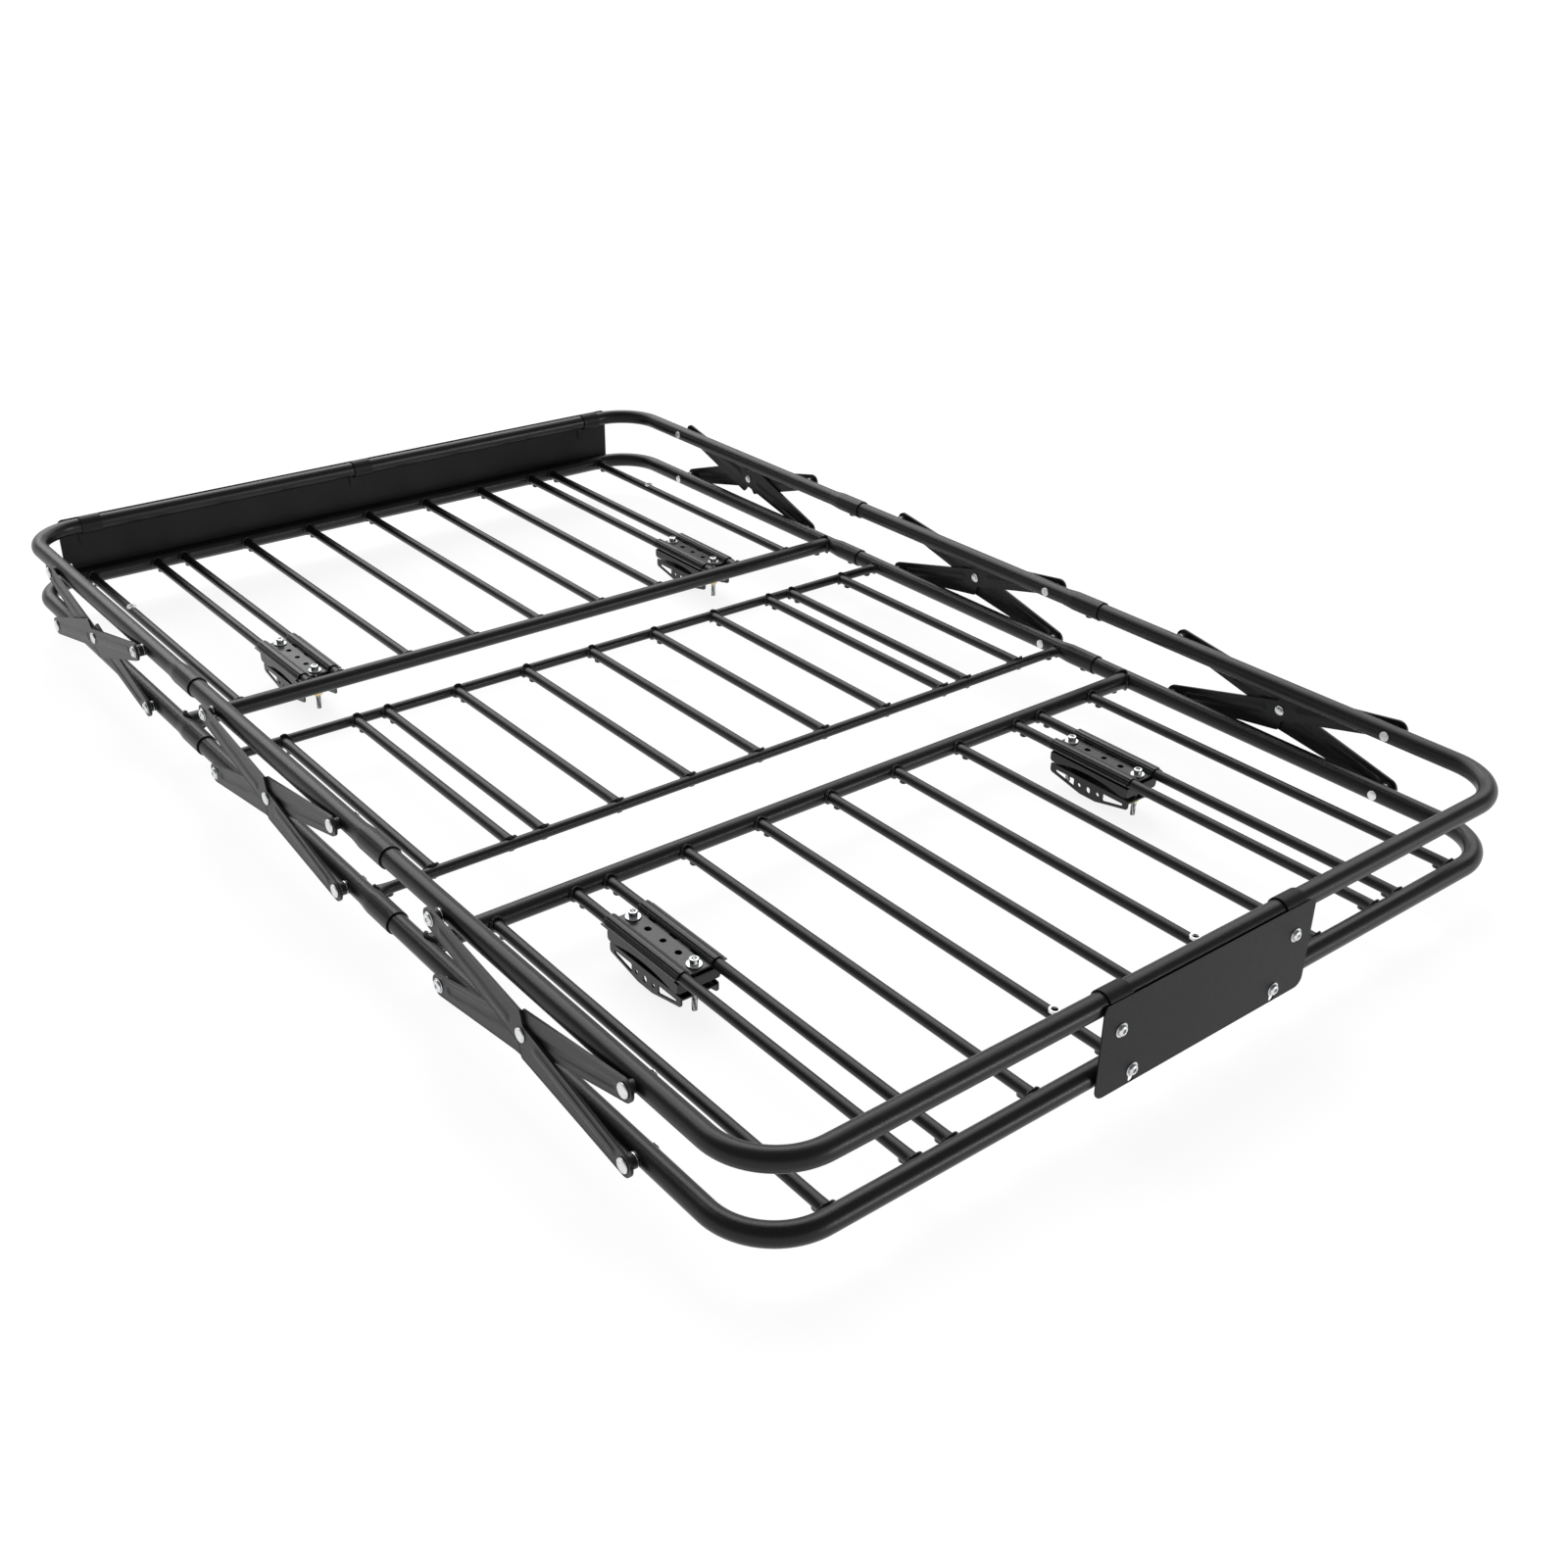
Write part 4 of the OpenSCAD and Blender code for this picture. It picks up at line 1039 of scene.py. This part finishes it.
def channel_section(side):
    """Half-round channel over a slat, grooved on its crown between fine ridges."""
    centre = side * PAIR_GAP / 2
    outer, inner = [], []
    count = 90
    for k in range(count + 1):
        turn = math.pi * k / count
        ridge = sum(max(0, 1 - (math.degrees(turn) - a) ** 2 / RIDGE_SPREAD ** 2) for a in RIDGES)
        groove = (1 - ridge) * (35 < math.degrees(turn) < 145)
        r = CHANNEL_OUT + RIDGE_RISE * ridge - GROOVE_DEPTH * groove
        outer.append((centre + r * math.cos(turn), r * math.sin(turn)))
    for k in range(25):
        turn = math.pi * (1 - k / 24)
        inner.append((centre + CHANNEL_IN * math.cos(turn), CHANNEL_IN * math.sin(turn)))
    return outer + inner


def flange_section(side):
    """The saddle's flat edge, outside the pair of slats."""
    start = side * (PAIR_GAP / 2 + CHANNEL_OUT - 0.6 * MM)
    end = side * (high("fr_saddle").x - PAIR_X)
    lip = end - 0.5 * MM * side
    return [(start, 0), (lip, 0), (end, 0.3 * MM), (end, 1.2 * MM), (lip, SADDLE_T), (start, SADDLE_T)]


def saddle(bm, matrix):
    """Two ridged channels and their flanges, and a web between them with holes and side slits."""
    for side in (-1, 1):
        extruded(bm, channel_section(side), SADDLE_L, matrix)
        extruded(bm, flange_section(side), SADDLE_L, matrix)
    half = PAIR_GAP / 2 - CHANNEL_IN - 0.2 * MM
    holes = []
    for step, stretch in ((-2, 0), (-1, 1), (0, 0), (1, 1), (2, 0)):
        holes.append(round_hole(0, step * HOLE_STEP, BOLT_HOLE_R, stretch * MM))
    for side in (-1, 1):
        for at in (-34, 0, 34):
            holes.append(round_hole(side * 11.5 * MM, at * MM, 1.2 * MM, 9.6 * MM))
    plate(bm, rounded(rectangle(half, SADDLE_L / 2), 1.5 * MM), holes, SADDLE_T, matrix)


def wall_matrix(x):
    """Stands a plate drawn in X and Y in the YZ plane at x, its thickness towards +X."""
    return Matrix.Translation((x, 0, 0)) @ TO_SIDE


def upper_jaw(bm, matrix):
    """A channel under the slats; its side walls arch over the vehicle's bar."""
    half = (high("fl_upper_jaw").y - low("fl_upper_jaw").y) / 2
    top, depth = SLAT_R + 0.3 * MM, UPPER_JAW_DEPTH
    chord = half - 10 * MM
    rise = depth - ARCH_DEPTH
    arch_r = (chord * chord + rise * rise) / (2 * rise)
    span = math.asin(chord / arch_r)
    outline = rounded([(-half, -depth, 4 * MM), (-half, -top, 1.5 * MM), (half, -top, 1.5 * MM),
                       (half, -depth, 4 * MM)])
    for k in range(25):
        turn = span * (1 - k / 12)
        outline.append((arch_r * math.sin(turn), arch_r * (math.cos(turn) - 1) - ARCH_DEPTH))
    for x in (-UPPER_JAW_W / 2, UPPER_JAW_W / 2 - JAW_T):
        plate(bm, outline, [], JAW_T, matrix @ wall_matrix(x))
    inside = UPPER_JAW_W / 2 - JAW_T * 0.5
    web = rectangle(inside, half)
    holes = [round_hole(0, step * HOLE_STEP, BOLT_HOLE_R) for step in range(-2, 3)]
    plate(bm, rounded(web, 1.5 * MM), holes, JAW_T, lifted(matrix, -top - JAW_T))
    wall = [(-inside, -depth), (inside, -depth), (inside, -top - JAW_T / 2), (-inside, -top - JAW_T / 2)]
    for y in (-half + JAW_T, half):
        plate(bm, rounded(wall, 2 * MM), [], JAW_T, matrix @ Matrix.Translation((0, y, 0)) @ ON_EDGE)


def lower_jaw(bm, matrix):
    """A boat-shaped channel under the bar, its sides pierced by windows and round holes."""
    half = (high("fl_lower_jaw").y - low("fl_lower_jaw").y) / 2
    outline = rounded([(-half, -22 * MM, 2 * MM), (half, -22 * MM, 2 * MM), (half, -33 * MM, 4 * MM),
                       (half - 24 * MM, -38 * MM, 20 * MM), (12 * MM, -43 * MM, 10 * MM),
                       (-12 * MM, -43 * MM, 10 * MM), (-half + 24 * MM, -38 * MM, 20 * MM),
                       (-half, -33 * MM, 4 * MM)])
    holes = [round_hole(0, -33.5 * MM, 3 * MM, 1.4 * MM)]
    window = [(22, -28.2, 1.2), (52, -28.2, 1), (50, -31.5, 1), (22, -37.5, 1.2)]
    for side in (-1, 1):
        holes.append(round_hole(side * 14 * MM, -33 * MM, 2.4 * MM))
        holes.append(rounded([(side * y * MM, z * MM, r * MM) for y, z, r in window]))
    for x in (-LOWER_JAW_W / 2, LOWER_JAW_W / 2 - JAW_T):
        plate(bm, outline, holes, JAW_T, matrix @ wall_matrix(x))
    inside = LOWER_JAW_W / 2 - JAW_T * 0.5
    web = rectangle(inside, half)
    holes = [round_hole(0, side * CLAMP_BOLT_Y, 3.4 * MM) for side in (-1, 1)]
    plate(bm, rounded(web, 2 * MM), holes, JAW_T, lifted(matrix, LOWER_WEB_Z))


def thread(bm, matrix, bottom, top, r, pitch):
    """A threaded rod: the crest winds round the bar once for each pitch."""
    depth = 0.55 * MM
    steps = math.ceil((top - bottom) / (pitch / 4))
    stations = [(bottom * Z_AXIS, X_AXIS, Y_AXIS, r - 0.9 * MM)]
    for k in range(steps + 1):
        z = bottom + 0.5 * MM + (top - bottom - 0.5 * MM) * k / steps

        def radius(turn, z=z):
            wave = (z / pitch - turn / (2 * math.pi)) % 1
            return r - depth * abs(2 * wave - 1)

        stations.append((z * Z_AXIS, X_AXIS, Y_AXIS, radius))
    tube(bm, stations, matrix, sides=24)


def clamp_bolt(bm, matrix):
    """Wide washer and socket-head bolt, its seat on z = 0, threaded below the saddle."""
    washer = [(3.2 * MM, 0), (7.7 * MM, 0), (8 * MM, 0.3 * MM), (8 * MM, 1.2 * MM)]
    washer += [(7.6 * MM, CLAMP_WASHER_T), (3.2 * MM, CLAMP_WASHER_T)]
    turned(bm, washer, matrix, close=True)
    r, h = 4.8 * MM, 6 * MM
    head = [(r - 0.3 * MM, 0), (r, 0.3 * MM), (r, h - 0.7 * MM), (r - 0.25 * MM, h - 0.2 * MM)]
    head += [(r - 0.7 * MM, h), (3 * MM, h), (2.5 * MM, h - 0.4 * MM, 6), (2.5 * MM, h - 3.4 * MM, 6)]
    head += [(0.8 * MM, h - 4 * MM)]
    turned(bm, head, lifted(matrix, CLAMP_WASHER_T))
    bottom = low("fl_bolts").z - FLOOR_Z - SADDLE_T
    thread(bm, matrix, bottom, -8 * MM, BOLT_R, 1 * MM)
    turned(bm, [(BOLT_R - 0.1 * MM, -8.2 * MM), (BOLT_R - 0.1 * MM, 2 * MM)], matrix, sides=24)


def clamp_nut(bm, matrix):
    """A chamfered hex nut round the bolt, hanging from z = 0."""
    bore, flat = 3.1 * MM, 5 * MM
    rings = [turned_ring(bore, 0), turned_ring(flat * 0.96, 0), turned_ring(flat, -0.5 * MM, 6)]
    rings += [turned_ring(flat, -4.5 * MM, 6), turned_ring(flat * 0.96, -5 * MM), turned_ring(bore, -5 * MM)]
    skin(bm, rings, matrix, close=True)


def make_clamps():
    for clamp in CLAMPS:
        centre = middle(f"{clamp}_saddle")
        at = Matrix.Translation((centre.x, centre.y, FLOOR_Z))
        body, jaw_body = f"{clamp}_clamp", f"{clamp}_clamp_jaw"
        for part, draw, rides_on in (("saddle", saddle, body), ("upper_jaw", upper_jaw, body),
                                     ("lower_jaw", lower_jaw, jaw_body)):
            bm = bmesh.new()
            draw(bm, at)
            piece(f"{clamp}_{part}_pressing", bm, rides_on, CLAMP_BLACK, [f"{clamp}_{part}"], crease=20)
        bolts, nuts = bmesh.new(), bmesh.new()
        for side in (-1, 1):
            clamp_bolt(bolts, at @ Matrix.Translation((0, side * CLAMP_BOLT_Y, SADDLE_T)))
            clamp_nut(nuts, at @ Matrix.Translation((0, side * CLAMP_BOLT_Y, LOWER_WEB_Z)))
        piece(f"{clamp}_long_bolts", bolts, body, ZINC, [f"{clamp}_bolts"])
        piece(f"{clamp}_yellow_nuts", nuts, jaw_body, YELLOW_ZINC, [f"{clamp}_nuts"])


def finish_cad_nodes():
    """The nuts inside the floor rails' end tubes keep their CAD shape, with a plated finish."""
    materials = frame["nodes"]["panel_rivet_nuts"].data.materials
    materials.clear()
    materials.append(ZINC[0])


# ---------- studio ----------

def make_floor():
    bpy.ops.mesh.primitive_plane_add(size=80, location=(0, 0, cad_box[0][2]))
    floor = bpy.context.object
    floor.name = "studio_floor"
    floor.data.materials.append(floor_finish())


def soft_sun(name, away, angle, strength):
    """A broad even light from the direction away."""
    light = bpy.data.lights.new(name, "SUN")
    light.angle = math.radians(angle)
    light.energy = strength
    obj = bpy.data.objects.new(name, light)
    obj.rotation_euler = Vector(away).to_track_quat("Z", "Y").to_euler()
    bpy.context.scene.collection.objects.link(obj)


def make_lights():
    soft_sun("front_light", (0.14, 0.72, 0.68), 50, 1.8)
    soft_sun("right_light", (0.64, 0.36, 0.68), 44, 0.85)
    soft_sun("low_light", (0.55, -0.83, 0.05), 22, 1.0)


def make_world():
    """White round the horizon, with a dim ceiling that leaves dark lines on the tubes."""
    world = bpy.data.worlds.new("studio")
    world.use_nodes = True
    tree = world.node_tree
    way = tree.nodes.new("ShaderNodeTexCoord")
    parts = tree.nodes.new("ShaderNodeSeparateXYZ")
    tree.links.new(way.outputs["Generated"], parts.inputs["Vector"])
    shade = ramp(tree, parts.outputs["Z"], [(0.17, (1, 1, 1)), (0.32, (0.25, 0.25, 0.25))])
    tree.links.new(shade, tree.nodes["Background"].inputs["Color"])
    bpy.context.scene.world = world


def make_camera():
    """From the rear left, above the rails, close enough for strong perspective."""
    azimuth, elevation = math.radians(-39.1), math.radians(28.8)
    distance, roll = 1.913, 0.0183
    target = Vector((-0.022, -0.246, FLOOR_Z))
    away = Vector((math.sin(azimuth) * math.cos(elevation), -math.cos(azimuth) * math.cos(elevation),
                   math.sin(elevation)))
    camera = bpy.data.objects.new("camera", bpy.data.cameras.new("camera"))
    camera.data.sensor_width = 36
    camera.data.lens = 39.83
    camera.data.clip_end = 200
    camera.location = target + distance * away
    look = (-away).to_track_quat("-Z", "Y").to_matrix().to_4x4()
    camera.rotation_euler = (look @ Matrix.Rotation(roll, 4, "Z")).to_euler()
    bpy.context.scene.collection.objects.link(camera)
    bpy.context.scene.camera = camera


make_camera()
make_rails()
make_joint_screws()
make_crossbars()
make_slats()
make_slat_nuts()
make_drain_plugs()
make_bosses()
make_rivets()
make_legs()
make_fairing()
make_rear_plate()
make_straps()
make_panel_bolts()
make_clamps()
finish_cad_nodes()
make_floor()
make_lights()
make_world()
bpy.context.scene.view_settings.view_transform = "Standard"
